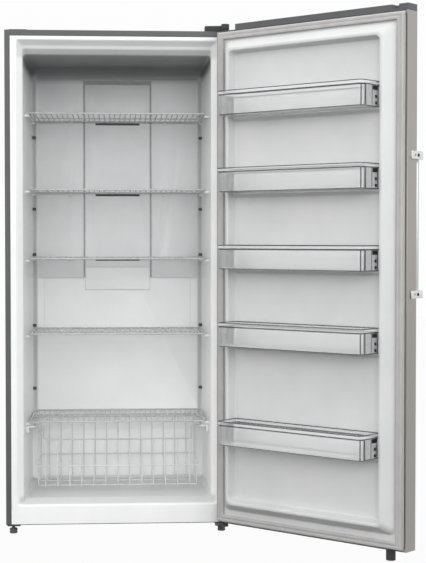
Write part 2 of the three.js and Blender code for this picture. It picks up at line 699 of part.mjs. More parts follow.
// Sheet that closes the foam off from the machine compartment, folded once.
function compartmentPanel() {
  const side = halfWidth - SHEET - 2 * SEAT;
  const rise = machineTop - SEAT;
  const wall = block(
    [-side, side],
    [machineFront + SEAT, machineFront + SEAT + PANEL_SHEET],
    [SILL_BOTTOM + SEAT, rise],
  );
  const roof = block(
    [-side, side],
    [machineFront + SEAT, CABINET_DEPTH - PANEL_SHEET - 2 * SEAT],
    [rise - PANEL_SHEET, rise],
  );
  return join(wall, roof);
}

function basePan() {
  const side = halfWidth - SEAT;
  const pan = block([-side, side], [SEAT, CABINET_DEPTH], [basePanBottom, basePanTop]);
  const holes = sideX.map((s) => bar(
    'z',
    SHANK_RADIUS + SHAFT_PLAY,
    [0, SILL_BOTTOM + OVERSHOOT],
    { x: s * footX, y: FOOT_Y },
  ));
  return cut(pan, holes);
}

function rearSheet([bottom, top]) {
  const side = halfWidth - SHEET - SEAT;
  return block(
    [-side, side],
    [CABINET_DEPTH - PANEL_SHEET, CABINET_DEPTH],
    [bottom, top],
  );
}

// Cover over the machine compartment, with rows of louvre slots.
function machineCover() {
  const sheet = rearSheet([basePanTop + SEAT, machineTop - SEAT]);
  const slots = [];
  const columnPitch = 2 * (halfWidth - LOUVRE_MARGIN) / LOUVRE_COLUMNS;
  const rowPitch = (machineTop - basePanTop - LOUVRE_MARGIN) / LOUVRE_ROWS;
  const reach = LOUVRE_SHARE * columnPitch / 2;
  for (let column = 0; column < LOUVRE_COLUMNS; column += 1) {
    for (let row = 0; row < LOUVRE_ROWS; row += 1) {
      const x = (column - (LOUVRE_COLUMNS - 1) / 2) * columnPitch;
      const z = basePanTop + LOUVRE_START + row * rowPitch;
      slots.push(block([x - reach, x + reach], [0, 2 * CABINET_DEPTH], [z, z + LOUVRE_HEIGHT]));
    }
  }
  return cut(sheet, slots);
}

// Cover over the evaporator: a flat panel with a raised centre column between grooves.
function ductCover() {
  const wingBottom = ductBottom + DUCT_WING_RISE;
  const plate = extrude('y', polygon([
    [-columnHalf, ductBottom],
    [columnHalf, ductBottom],
    [columnHalf, wingBottom],
    [ductHalf, wingBottom],
    [ductHalf, ductTop],
    [-ductHalf, ductTop],
    [-ductHalf, wingBottom],
    [-columnHalf, wingBottom],
  ]), [ductFace, ductFace + DUCT_THICKNESS]);
  const grooveY = [ductFace - OVERSHOOT, ductFace + DUCT_GROOVE_DEPTH];
  const columnTop = ductTop - DUCT_TOP_GAP;
  const panelLine = ductBottom + PANEL_LINE_RISE;
  const outer = columnHalf + DUCT_GROOVE;
  const grooves = [
    ...sideX.map((s) => block(span(s, columnHalf, outer), grooveY, [ductBottom - OVERSHOOT, columnTop])),
    block([-outer, outer], grooveY, [columnTop - DUCT_TOP_GROOVE, columnTop]),
    block([-outer, outer], grooveY, [panelLine, panelLine + PANEL_LINE_WIDTH]),
  ];
  const slots = shelfTops.slice(0, 3).map((shelfTop) => block(
    [-slotHalf, slotHalf],
    [ductFace - OVERSHOOT, backWall],
    [shelfTop - AIR_SLOT_DROP - AIR_SLOT_HEIGHT, shelfTop - AIR_SLOT_DROP],
  ));
  const clips = shelfTops.slice(0, 3).flatMap((shelfTop) => sideX.map((s) => {
    const clipTop = shelfTop - pegDrop;
    return block(
      span(s, clipX - SHELF_CLIP_WIDTH / 2, clipX + SHELF_CLIP_WIDTH / 2),
      [shelfRear - SHELF_CLIP_LAP, ductFace + OVERSHOOT],
      [clipTop - SHELF_CLIP_HEIGHT, clipTop],
    );
  }));
  return join(cut(plate, grooves, slots), clips);
}

// ---------------------------------------------------------------- shelves and basket
// Welded wire shelf: four frame rods, wires from the front rod to the rear one, and a rod
// under their middle.
function wireShelf(top) {
  const rodZ = top - FRAME_ROD;
  const along = [SHELF_FRONT, shelfRear];
  const reach = shelfHalf - 2 * FRAME_ROD + WELD;
  const rods = [
    ...[SHELF_FRONT + FRAME_ROD, shelfRear - FRAME_ROD].map(
      (y) => bar('x', FRAME_ROD, [-shelfHalf, shelfHalf], { y, z: rodZ }, 4),
    ),
    ...sideX.map((s) => bar('y', FRAME_ROD, along, { x: s * (shelfHalf - FRAME_ROD), z: rodZ }, 4)),
    bar('x', MIDDLE_ROD, [-reach, reach], {
      y: (SHELF_FRONT + shelfRear) / 2,
      z: rodZ - SHELF_WIRE - MIDDLE_ROD + WELD,
    }, 4),
  ];
  const pitch = 2 * (shelfHalf - FRAME_ROD) / (SHELF_WIRES + 1);
  const ends = [SHELF_FRONT + 2 * FRAME_ROD - WELD, shelfRear - 2 * FRAME_ROD + WELD];
  for (let wire = 1; wire <= SHELF_WIRES; wire += 1) {
    const x = -shelfHalf + FRAME_ROD + wire * pitch;
    rods.push(bar('y', SHELF_WIRE, ends, { x, z: rodZ }, 4));
  }
  return join(rods);
}

// Wire basket: U-shaped wires both ways, a belt, and a rim that dips at the front.
function wireBasket() {
  const front = basketFront + BASKET_ROD;
  const rear = basketRear - BASKET_ROD;
  const half = basketHalf - BASKET_ROD;
  const rimHalf = basketRimHalf - BASKET_ROD;
  const dip = basketRim - BASKET_CUT_DEPTH;
  const base = floor + BASKET_FLOOR_GAP + BASKET_WIRE;
  const belt = basketRim - BASKET_BELT_DROP;
  const step = 2 * BASKET_WIRE - WELD;
  const rod = (axis, range, at) => bar(axis, BASKET_ROD, range, at, 4);
  const wire = (axis, range, at) => bar(axis, BASKET_WIRE, range, at, 4);
  const pieces = [
    rod('x', [-rimHalf, rimHalf], { y: rear, z: basketRim }),
    rod('x', [-basketCutHalf, basketCutHalf], { y: front, z: dip }),
    ...sideX.flatMap((s) => [
      rod('y', [front - BASKET_ROD, rear + BASKET_ROD], { x: s * rimHalf, z: basketRim }),
      rod('x', span(s, basketCutHalf - BASKET_ROD, rimHalf), { y: front, z: basketRim }),
      rod('z', [dip - BASKET_ROD, basketRim], { x: s * basketCutHalf, y: front }),
      wire('y', [front - step, rear + step], { x: s * (half + step), z: belt }),
    ]),
    ...[front - step, rear + step].map(
      (y) => wire('x', [-half - step, half + step], { y, z: belt }),
    ),
  ];
  const pitch = 2 * (basketCutHalf - BASKET_WIRE_INSET) / (BASKET_WIRES - 1);
  for (let index = 0; index < BASKET_WIRES; index += 1) {
    const x = (index - (BASKET_WIRES - 1) / 2) * pitch;
    pieces.push(bentWire(
      [[x, front, dip], [x, front, base], [x, rear, base], [x, rear, basketRim]],
      BASKET_WIRE,
      [1, 0, 0],
    ));
  }
  for (let index = 0; index < BASKET_CROSS_WIRES; index += 1) {
    const y = front + (index + 0.5) * (rear - front) / BASKET_CROSS_WIRES;
    pieces.push(bentWire(
      [
        [-rimHalf, y, basketRim],
        [-half, y, basketRim],
        [-half, y, base - step],
        [half, y, base - step],
        [half, y, basketRim],
        [rimHalf, y, basketRim],
      ],
      BASKET_WIRE,
      [0, 1, 0],
    ));
  }
  return join(pieces);
}

// Moulded rail on each side wall: the basket's rim slides on its ledge.
function basketRail(side) {
  const ledgeTop = basketRim - BASKET_ROD - SEAT;
  const ledge = block(
    span(side, basketHalf + RAIL_GAP, halfWidth),
    [basketFront, basketRear + BASKET_REAR_GAP],
    [ledgeTop - RAIL_LEDGE, ledgeTop],
  );
  const apron = block(
    span(side, wallAtBack - RAIL_WALL, halfWidth),
    [basketFront, basketRear + BASKET_REAR_GAP],
    [ledgeTop - RAIL_APRON, ledgeTop],
  );
  return join(ledge, apron).intersect(cavity(-SEAT));
}

// ---------------------------------------------------------------- evaporator and machine compartment
// A tube that runs to and fro between two end plates.
function coil({ passes, pitch, half, tube, y, bottom, middleX, plateY, plateZ }) {
  const path = serpentine(passes, pitch, half, y, bottom, middleX);
  const plates = sideX.map((s) => {
    const x = middleX + s * (half - pitch / 2 - COIL_PLATE_INSET);
    return block([x - COIL_PLATE / 2, x + COIL_PLATE / 2], plateY, plateZ);
  });
  return join(bentWire(path, tube, [0, 1, 0], 6), plates);
}

function fanBlade(radius) {
  const blade = extrude('z', polygon([
    [0, -radius * 0.16], [radius * 0.9, -radius * 0.36], [radius * 0.97, 0],
    [radius * 0.86, radius * 0.36], [0, radius * 0.16],
  ]), [-FAN_BLADE_SHEET / 2, FAN_BLADE_SHEET / 2]);
  const hub = bar('z', FAN_HUB, [-FAN_HUB_LENGTH / 2, FAN_HUB_LENGTH / 2], { x: 0, y: 0 });
  const blades = [];
  for (let index = 0; index < FAN_BLADES; index += 1) {
    blades.push(blade.rotate([FAN_TWIST, 0, 0]).rotate([0, 0, index * 360 / FAN_BLADES]));
  }
  const bore = bar('z', FAN_SHAFT + SHAFT_PLAY, [-FAN_HUB_LENGTH, FAN_HUB_LENGTH], { x: 0, y: 0 });
  return cut(join(hub, blades), bore);
}

// The evaporator fan's motor sits on the back of its pocket, its shaft towards the cover.
const evaporatorHubY = ductFace + DUCT_THICKNESS + FAN_HUB_GAP;
function evaporatorFanMotor() {
  const at = { x: 0, z: evaporatorFanZ };
  const motorFront = evaporatorHubY + FAN_HUB_LENGTH / 2 + FAN_MOTOR_GAP;
  return join(
    bar('y', FAN_MOTOR_RADIUS, [motorFront, pocketBack - SEAT], at),
    bar('y', FAN_SHAFT, [evaporatorHubY - FAN_HUB_LENGTH / 2, motorFront + OVERSHOOT], at),
  );
}

const motorEnds = [condenserFanX - FAN_MOTOR_LENGTH / 2, condenserFanX + FAN_MOTOR_LENGTH / 2];
const condenserHubX = motorEnds[1] + FAN_MOTOR_GAP + FAN_HUB_LENGTH / 2;
function condenserFanMotor() {
  const at = { y: machineMiddle, z: condenserFanZ };
  const postX = motorEnds[0] + MOTOR_POST_INSET;
  const deep = [machineMiddle - MOTOR_FOOT_HALF, machineMiddle + MOTOR_FOOT_HALF];
  const standsOn = basePanTop + SEAT;
  return join(
    bar('x', FAN_MOTOR_RADIUS, motorEnds, at),
    bar('x', FAN_SHAFT, [motorEnds[1] - OVERSHOOT, condenserHubX + FAN_HUB_LENGTH / 2], at),
    block([postX - MOTOR_POST / 2, postX + MOTOR_POST / 2], deep, [standsOn, condenserFanZ]),
    block(
      [postX - MOTOR_FOOT_REACH, postX + MOTOR_FOOT_REACH],
      deep,
      [standsOn, standsOn + MOTOR_FOOT_SHEET],
    ),
  );
}

// Hermetic compressor: an oval welded shell on a foot plate, with its discharge stub.
const compressorBase = basePanTop + SEAT + GROMMET_HEIGHT + SEAT;
const stub = { x: compressorX - STUB_OFFSET, y: machineMiddle };
const stubTop = compressorBase + COMPRESSOR_HEIGHT + STUB_RISE;
const compressorFootHalf = COMPRESSOR_RADIUS * COMPRESSOR_FOOT_SHARE;
function compressor() {
  const r = COMPRESSOR_RADIUS;
  const h = COMPRESSOR_HEIGHT;
  const profile = [
    [0, 0], [r * 0.55, 0], [r * 0.82, h * 0.08], [r * 0.94, h * 0.2], [r * 0.94, h * 0.46],
    [r, h * 0.48], [r, h * 0.53], [r * 0.93, h * 0.55], [r * 0.86, h * 0.78], [r * 0.62, h * 0.94],
    [r * 0.28, h], [0, h],
  ];
  const shell = lathe(profile, { x: 0, y: 0 }).scale([1, COMPRESSOR_SQUASH, 1]);
  const foot = block([-r, r], [-compressorFootHalf, compressorFootHalf], [0, COMPRESSOR_FOOT]);
  const placed = join(shell, foot).translate([compressorX, machineMiddle, compressorBase]);
  return join(placed, bar('z', TUBE_RADIUS, [compressorBase + h / 2, stubTop], stub, 12));
}

const grommetPlaces = sideX.flatMap((s) => sideX.map((t) => ({
  x: compressorX + s * (COMPRESSOR_RADIUS - GROMMET_INSET),
  y: machineMiddle + t * (compressorFootHalf - GROMMET_INSET),
})));

const condenserBottom = basePanTop + CONDENSER_RISE;
const condenserTop = condenserBottom + (CONDENSER_PASSES - 1) * CONDENSER_PITCH;
// Hot gas tube from the compressor's stub to the top of the condenser.
function dischargeTube() {
  const endX = condenserX + CONDENSER_HALF + SEAT;
  const fallX = endX + TUBE_REACH;
  const over = stubTop + SEAT + TUBE_RISE;
  return bentWire([
    [stub.x, machineMiddle, stubTop + SEAT],
    [stub.x, machineMiddle, over - TUBE_BEND],
    [stub.x - TUBE_BEND, machineMiddle, over],
    [fallX + TUBE_BEND, machineMiddle, over],
    [fallX, machineMiddle, over - TUBE_BEND],
    [fallX, machineMiddle, condenserTop + TUBE_BEND],
    [fallX - TUBE_BEND, machineMiddle, condenserTop],
    [endX, machineMiddle, condenserTop],
  ], TUBE_RADIUS, [0, 1, 0], 8);
}

function drainPan() {
  const hubEnd = condenserHubX + FAN_HUB_LENGTH;
  const x = [hubEnd + DRAIN_PAN_FAN_GAP, compressorX - COMPRESSOR_RADIUS - DRAIN_PAN_GAP];
  const y = [machineFront + DRAIN_PAN_FRONT, CABINET_DEPTH - DRAIN_PAN_BACK];
  const z = [basePanTop + SEAT, basePanTop + SEAT + DRAIN_PAN_HEIGHT];
  const inside = ([low, high]) => [low + DRAIN_PAN_WALL, high - DRAIN_PAN_WALL];
  return cut(block(x, y, z), block(inside(x), inside(y), [z[0] + DRAIN_PAN_WALL, z[1] + OVERSHOOT]));
}

// ---------------------------------------------------------------- feet and rollers
function footPlate(side, thickness, frontY) {
  const outline = roundedRectangle(
    span(side, footX - FOOT_PLATE_REACH, halfWidth - FOOT_PLATE_EDGE),
    [frontY, FOOT_Y + FOOT_PLATE_BACK],
    FOOT_PLATE_EDGE,
  );
  const top = basePanBottom - SEAT;
  const plate = extrude('z', outline, [top - thickness, top]);
  const shank = { x: side * footX, y: FOOT_Y };
  return cut(plate, bar('z', SHANK_RADIUS + SHAFT_PLAY, [0, SILL_BOTTOM], shank));
}

const levellingFoot = (side) => lathe([
  [0, 0],
  [FOOT_RADIUS - FOOT_CHAMFER, 0],
  [FOOT_RADIUS, FOOT_CHAMFER],
  [FOOT_RADIUS, FOOT_HEIGHT - FOOT_SHOULDER],
  [FOOT_RADIUS - FOOT_SHOULDER, FOOT_HEIGHT],
  [SHANK_RADIUS, FOOT_HEIGHT],
  [SHANK_RADIUS, basePanTop - SHANK_END_GAP],
  [0, basePanTop - SHANK_END_GAP],
], { x: side * footX, y: FOOT_Y });

const rollerY = CABINET_DEPTH - ROLLER_FROM_BACK;
const rollerZ = ROLLER_RADIUS;
function roller(side) {
  const at = { y: rollerY, z: rollerZ };
  const range = [side * rollerX - ROLLER_WIDTH / 2, side * rollerX + ROLLER_WIDTH / 2];
  const tread = bar('x', ROLLER_RADIUS, range, at, 32);
  return cut(tread, bar('x', AXLE_RADIUS + SHAFT_PLAY, [range[0] - OVERSHOOT, range[1] + OVERSHOOT], at));
}

// Folded bracket with the roller's axle riveted through its cheeks.
function rollerBracket(side) {
  const middle = side * rollerX;
  const gap = ROLLER_WIDTH / 2 + CHEEK_GAP;
  const top = basePanBottom - SEAT;
  const tip = rollerZ - CHEEK_TIP_DROP;
  const depth = [rollerY - CHEEK_HALF, rollerY + CHEEK_HALF];
  const roof = block([middle - gap - CHEEK, middle + gap + CHEEK], depth, [top - CHEEK, top]);
  const cheek = polygon([
    [depth[0], top],
    [rollerY - CHEEK_TIP_HALF, tip],
    [rollerY + CHEEK_TIP_HALF, tip],
    [depth[1], top],
  ]);
  const cheeks = [[-gap - CHEEK, -gap], [gap, gap + CHEEK]].map(
    ([from, to]) => extrude('x', cheek, [middle + from, middle + to]),
  );
  const reach = gap + CHEEK + RIVET_HEAD;
  const axle = bar('x', AXLE_RADIUS, [middle - reach, middle + reach], { y: rollerY, z: rollerZ });
  return join(roof, cheeks, axle);
}

// ---------------------------------------------------------------- hinges
// Plan of the upper hinge: a plate on the cabinet and an arm that reaches out over the door.
function hingeOutline(margin) {
  const r = HINGE_ARM + margin;
  const inner = hingeX - HINGE_REACH - margin;
  const shape = new THREE.Shape();
  shape.moveTo(inner, HINGE_PLATE_BACK + margin);
  shape.lineTo(inner, HINGE_PLATE_FRONT - margin);
  shape.lineTo(hingeX - r, -HINGE_NECK - margin);
  shape.lineTo(hingeX - r, -HINGE_FORWARD);
  shape.absarc(hingeX, -HINGE_FORWARD, r, Math.PI, 2 * Math.PI, false);
  shape.lineTo(hingeX + r, HINGE_PLATE_BACK + margin);
  return shape;
}

const hingeAt = { x: hingeX, y: -HINGE_FORWARD };
const hingePlateBottom = CABINET_TOP + SEAT;
function upperHinge() {
  const plate = extrude('z', hingeOutline(0), [hingePlateBottom, hingePlateBottom + HINGE_PLATE]);
  const pinEnd = doorTop - DOOR_CAP_DEPTH + PIN_END_GAP;
  return join(plate, bar('z', HINGE_PIN, [pinEnd, hingePlateBottom + OVERSHOOT], hingeAt));
}

function upperHingeCover() {
  const top = hingePlateBottom + HINGE_COVER_HEIGHT;
  const outer = extrude('z', hingeOutline(SEAT + HINGE_COVER_WALL), [hingePlateBottom, top]);
  const inner = extrude('z', hingeOutline(SEAT), [hingePlateBottom - OVERSHOOT, top - HINGE_COVER_WALL]);
  return cut(outer, inner);
}

function lowerHinge() {
  const plate = footPlate(1, LOWER_HINGE_PLATE, -FOOT_Y);
  const top = basePanBottom - SEAT;
  const outline = roundedRectangle(
    [hingeX - HINGE_ARM, hingeX + HINGE_ARM],
    [-HINGE_FORWARD - HINGE_ARM, 0],
    HINGE_ARM - OVERSHOOT,
    1,
  );
  const arm = extrude('z', outline, [top - LOWER_HINGE_PLATE, top]);
  const pinEnd = doorBottom + DOOR_CAP_DEPTH - PIN_END_GAP;
  return join(plate, arm, bar('z', HINGE_PIN, [top - OVERSHOOT, pinEnd], hingeAt));
}

// Plate that closes the hinge holes on the side that isn't used.
function spareHingeCover() {
  const left = -halfWidth + SPARE_COVER_INSET;
  const outline = roundedRectangle(
    [left, left + SPARE_COVER_LENGTH],
    [SPARE_COVER_FRONT, SPARE_COVER_FRONT + SPARE_COVER_DEPTH],
    SPARE_COVER_CORNER,
  );
  return extrude('z', outline, [hingePlateBottom, hingePlateBottom + SPARE_COVER_HEIGHT]);
}

function hingeBush(flangeFrom, flangeTo, sleeveEnd) {
  const bore = HINGE_PIN + SHAFT_PLAY;
  const outer = bore + BUSH_WALL;
  const profile = [
    [bore, flangeFrom], [BUSH_FLANGE, flangeFrom], [BUSH_FLANGE, flangeTo], [outer, flangeTo],
    [outer, sleeveEnd], [bore, sleeveEnd], [bore, flangeFrom],
  ];
  return lathe(sleeveEnd > flangeFrom ? profile : profile.reverse(), hingeAt);
}

// ---------------------------------------------------------------- door
// Plan of the door's steel, `inset` in from its outer face.
function doorPlan(inset, backInset = inset) {
  return roundedRectangle(
    [-halfWidth + inset, halfWidth - inset],
    [doorFace + inset, -DOOR_BACK - backInset],
    DOOR_EDGE_RADIUS - inset,
    DOOR_FOLD_RADIUS,
  );
}

// One sheet: the face, both sides and a narrow fold along the back of each side.
function doorSkin() {
  const range = [doorBottom, doorTop];
  const beyond = [doorBottom - OVERSHOOT, doorTop + OVERSHOOT];
  const hollow = extrude('z', doorPlan(SHEET), beyond);
  const mouth = block([-foldInner, foldInner], [-DOOR_BACK - DOOR_RETURN, 0], beyond);
  return cut(extrude('z', doorPlan(0), range), hollow, mouth);
}

const capInset = SHEET + SEAT;
const bushHole = () => bar('z', HINGE_PIN + SHAFT_PLAY + BUSH_WALL + SEAT, [0, 2 * CABINET_TOP], hingeAt);

function doorTopCap() {
  const lid = doorTop + SEAT + CAP_LID;
  const plug = extrude('z', doorPlan(capInset), [doorTop - DOOR_CAP_DEPTH, doorTop + OVERSHOOT]);
  const flange = extrude('z', doorPlan(0), [doorTop + SEAT, lid]);
  const crownTop = doorTop + DOOR_CAP_HEIGHT;
  const crown = extrude('z', doorPlan(CAP_CROWN_INSET), [lid - OVERSHOOT, crownTop]);
  const hingeEnd = block(
    [halfWidth - CAP_HINGE_GAP, CABINET_WIDTH],
    [-CABINET_DEPTH, 0],
    [lid, 2 * CABINET_TOP],
  );
  const notchX = -halfWidth + CAP_NOTCH_OFFSET;
  const notch = block(
    [notchX, notchX + CAP_NOTCH],
    [-DOOR_BACK - CAP_NOTCH_REACH, 0],
    [crownTop - CAP_NOTCH_DEPTH, crownTop + OVERSHOOT],
  );
  return cut(join(plug, flange, crown), hingeEnd, notch, bushHole());
}

function doorBottomCap() {
  const plug = extrude('z', doorPlan(capInset), [doorBottom, doorBottom + DOOR_CAP_DEPTH]);
  return cut(plug, bushHole());
}

// The recess inside the dyke, its faces moved `grow` into the plastic.
function dykeRecess(grow) {
  const low = dykeBottom + DYKE_FOOT_SLOPE + DYKE_CREST_WIDTH;
  const high = dykeTop - DYKE_SLOPE - DYKE_CREST_WIDTH;
  const section = (y, half, bottom, top) => ({ y, half, bottom, top, radius: DYKE_CORNER / 2 });
  return loft([
    section(
      -DYKE_FLOOR - grow,
      recessFloorHalf + grow,
      low + DYKE_DRAFT - grow,
      high - DYKE_DRAFT + grow,
    ),
    section(DYKE_CREST + OVERSHOOT, recessHalf + grow, low - grow, high + grow),
  ]);
}

// The dyke is a raised ring. `shrink` moves every face into the plastic.
function dyke(shrink, root = flangeBack - OVERSHOOT) {
  const section = (y, rise) => ({
    y,
    half: dykeBase - rise * DYKE_SLOPE - shrink,
    bottom: dykeBottom + rise * DYKE_FOOT_SLOPE + shrink,
    top: dykeTop - rise * DYKE_SLOPE - shrink,
    radius: DYKE_CORNER,
  });
  const ring = loft([section(root, 0), section(flangeFront, 0), section(DYKE_CREST - shrink, 1)]);
  return cut(ring, dykeRecess(shrink));
}

// Inner door panel: flange, dyke, a ledge under each bin and two lugs beside it.
function doorLiner() {
  const edge = gasketOuter + FLANGE_OVERLAP;
  const flange = block(
    [-edge, edge],
    [flangeBack, flangeFront],
    [gasketBottom - FLANGE_OVERLAP, gasketTop + FLANGE_OVERLAP],
  );
  const rests = binRims.flatMap((rim) => {
    const seat = rim - BIN_HEIGHT - SEAT;
    const lugTop = rim - BIN_RIM - SEAT;
    const ledge = extrude('x', polygon([
      [-DYKE_FLOOR - OVERSHOOT, seat - LEDGE_HEIGHT],
      [-DYKE_FLOOR + LEDGE_FOOT, seat - LEDGE_HEIGHT],
      [-DYKE_FLOOR + LEDGE_DEPTH, seat - LEDGE_LIP],
      [-DYKE_FLOOR + LEDGE_DEPTH, seat],
      [-DYKE_FLOOR - OVERSHOOT, seat],
    ]), [-recessFloorHalf - OVERSHOOT, recessFloorHalf + OVERSHOOT]);
    const lugs = sideX.map((s) => block(
      span(s, binHalf + SEAT, recessHalf + LINER_WALL),
      [binBack, binBack + LUG_DEPTH],
      [lugTop - LUG_HEIGHT, lugTop],
    ));
    return [ledge, ...lugs];
  });
  const shell = cut(join(flange, dyke(0, flangeBack)), dyke(LINER_WALL));
  return join(shell, join(rests).intersect(dykeRecess(LINER_WALL / 2)));
}

function doorFoam() {
  const [bottom, top] = [doorBottom + DOOR_CAP_DEPTH + SEAT, doorTop - DOOR_CAP_DEPTH - SEAT];
  const core = extrude('z', doorPlan(capInset), [bottom, top]);
  const padHalf = foldInner - SEAT;
  const pad = block([-padHalf, padHalf], [doorFace / 2, flangeBack - SEAT], [bottom, top]);
  return join(core, pad, dyke(LINER_WALL + SEAT));
}

// Magnetic gasket: one closed frame with a groove along the middle of its face.
function doorGasket() {
  const frame = (inset, y, width = GASKET_WIDTH - 2 * inset) => {
    const half = gasketOuter - inset;
    const low = gasketBottom + inset;
    const high = gasketTop - inset;
    const shape = roundedRectangle([-half, half], [low, high], GASKET_CORNER);
    shape.holes.push(roundedRectangle(
      [-half + width, half - width],
      [low + width, high - width],
      GASKET_CORNER / 2,
    ));
    return extrude('y', shape, y, 2);
  };
  const body = frame(0, [flangeFront + SEAT, -GASKET_BEAD_BASE]);
  const bead = frame(GASKET_BEAD_INSET, [-GASKET_BEAD_BASE - OVERSHOOT, -GASKET_CLOSED_GAP]);
  const groove = frame(
    GASKET_WIDTH / 2 - GASKET_GROOVE_HALF,
    [-GASKET_BEAD_BASE - GASKET_GROOVE_DEPTH, 0],
  );
  return cut(join(body, bead), groove);
}

// A clear bin: a deep tray with a band round its rim.
function doorBin(rim) {
  const plan = (inset) => roundedRectangle(
    [-binHalf + inset, binHalf - inset],
    [binBack + inset, BIN_FRONT - inset],
    BIN_CORNER / 3 - inset / 3,
    BIN_CORNER - inset,
  );
  const bottom = rim - BIN_HEIGHT;
  const tray = extrude('z', plan(0), [bottom, rim], 3);
  const band = extrude('z', plan(-BIN_RIM_OUT), [rim - BIN_RIM, rim], 3);
  const hollow = extrude('z', plan(BIN_WALL), [bottom + BIN_WALL, rim + OVERSHOOT], 3);
  return cut(join(tray, band), hollow);
}

// ---------------------------------------------------------------- handle
const barAt = { x: -halfWidth + BAR_INSET, y: doorFace - BAR_STANDOFF };
// Cast bracket: a plate on the door's side that sweeps round the corner to hold the bar.
function handleBracket(bottom) {
  const side = -halfWidth - SEAT;
  const face = doorFace - SEAT;
  const outer = side - BRACKET_PLATE;
  const reach = BAR_RADIUS + BRACKET_WALL;
  const shape = new THREE.Shape();
  shape.moveTo(outer, doorFace + BRACKET_LAP);
  shape.lineTo(outer, face - BRACKET_SWEEP);
  shape.quadraticCurveTo(outer, barAt.y - reach, barAt.x, barAt.y - reach);
  shape.absarc(barAt.x, barAt.y, reach, -Math.PI / 2, Math.PI / 2, false);
  shape.quadraticCurveTo(side + BRACKET_NECK, barAt.y + reach, side + BRACKET_NECK, face);
  shape.lineTo(side, face);
  shape.lineTo(side, doorFace + BRACKET_LAP);
  const body = extrude('z', shape, [bottom, bottom + BRACKET_HEIGHT], 8);
  const middle = bottom + BRACKET_HEIGHT / 2;
  const bore = bar('z', BAR_RADIUS + SEAT, [0, CABINET_TOP], barAt);
  const screwAt = { y: doorFace + BRACKET_LAP / 2, z: middle };
  return cut(body, bore, bar('x', SCREW_HOLE, [outer - OVERSHOOT, side + OVERSHOOT], screwAt, 12));
}

// ---------------------------------------------------------------- assembly
const freezer = new THREE.Group();
freezer.add(
  part('outer_wrapper', outerWrapper(), graphitePaint),
  part('back_panel', rearSheet([machineTop + SEAT, CABINET_TOP - SHEET - SEAT]), zincSteel),
  part('base_pan', basePan(), blackEnamel),
  part('compartment_panel', compartmentPanel(), zincSteel),
  part('machine_cover', machineCover(), zincSteel),
  part('inner_liner', innerLiner(), whiteLiner),
  part('cabinet_foam', cabinetFoam(), paleFoam),
  part('duct_cover', ductCover(), whiteLiner),
);

shelfTops.forEach((top, index) => {
  freezer.add(part(`shelf_${index + 1}`, wireShelf(top), whiteWire));
});
freezer.add(part('basket', wireBasket(), whiteWire));

const coilMiddleY = (ductFace + DUCT_THICKNESS + pocketBack) / 2;
freezer.add(
  part('evaporator_coil', coil({
    passes: COIL_PASSES,
    pitch: COIL_PITCH,
    half: pocketHalf - COIL_INSET,
    tube: COIL_TUBE,
    y: coilMiddleY,
    bottom: coilBottom,
    middleX: 0,
    plateY: [coilMiddleY - COIL_PLATE_HALF, pocketBack - SEAT],
    plateZ: [coilBottom - COIL_PLATE_MARGIN, coilTop + COIL_PLATE_MARGIN],
  }), aluminium),
  part('evaporator_fan_motor', evaporatorFanMotor(), blackPlastic),
);
const evaporatorBlade = part('evaporator_fan_blade', fanBlade(EVAPORATOR_FAN), blackPlastic);
evaporatorBlade.position.set(0, evaporatorHubY, evaporatorFanZ);
evaporatorBlade.rotation.x = Math.PI / 2;
freezer.add(evaporatorBlade);

freezer.add(
  part('condenser_coil', coil({
    passes: CONDENSER_PASSES,
    pitch: CONDENSER_PITCH,
    half: CONDENSER_HALF,
    tube: CONDENSER_TUBE,
    y: machineMiddle,
    bottom: condenserBottom,
    middleX: condenserX,
    plateY: [machineMiddle - CONDENSER_PLATE_HALF, machineMiddle + CONDENSER_PLATE_HALF],
    plateZ: [basePanTop + SEAT, condenserTop + COIL_PLATE_MARGIN],
  }), blackEnamel),
  part('condenser_fan_motor', condenserFanMotor(), blackPlastic),
  part('compressor', compressor(), blackEnamel),
  part('discharge_tube', dischargeTube(), copper),
  part('drain_pan', drainPan(), blackPlastic),
);
const condenserBlade = part('condenser_fan_blade', fanBlade(CONDENSER_FAN), blackPlastic);
condenserBlade.position.set(condenserHubX, machineMiddle, condenserFanZ);
condenserBlade.rotation.y = Math.PI / 2;
freezer.add(condenserBlade);
grommetPlaces.forEach((at, index) => {
  const grommet = bar('z', GROMMET_RADIUS, [basePanTop + SEAT, compressorBase - SEAT], at, 12);
  freezer.add(part(`compressor_grommet_${index + 1}`, grommet, blackRubber));
});

for (const [side, word] of [[-1, 'left'], [1, 'right']]) {
  freezer.add(
    part(`basket_rail_${word}`, basketRail(side), whiteLiner),
    part(`front_foot_${word}`, levellingFoot(side), blackPlastic),
    part(`rear_roller_bracket_${word}`, rollerBracket(side), zincSteel),
    part(`rear_roller_${word}`, roller(side), blackPlastic),
  );
}
freezer.add(
  part('foot_plate_left', footPlate(-1, FOOT_PLATE, FOOT_PLATE_FRONT), blackEnamel),
  part('lower_hinge_bracket', lowerHinge(), blackEnamel),
  part('upper_hinge_bracket', upperHinge(), zincSteel),
  part('upper_hinge_cover', upperHingeCover(), blackPlastic),
  part('spare_hinge_cover', spareHingeCover(), graphitePaint),
);

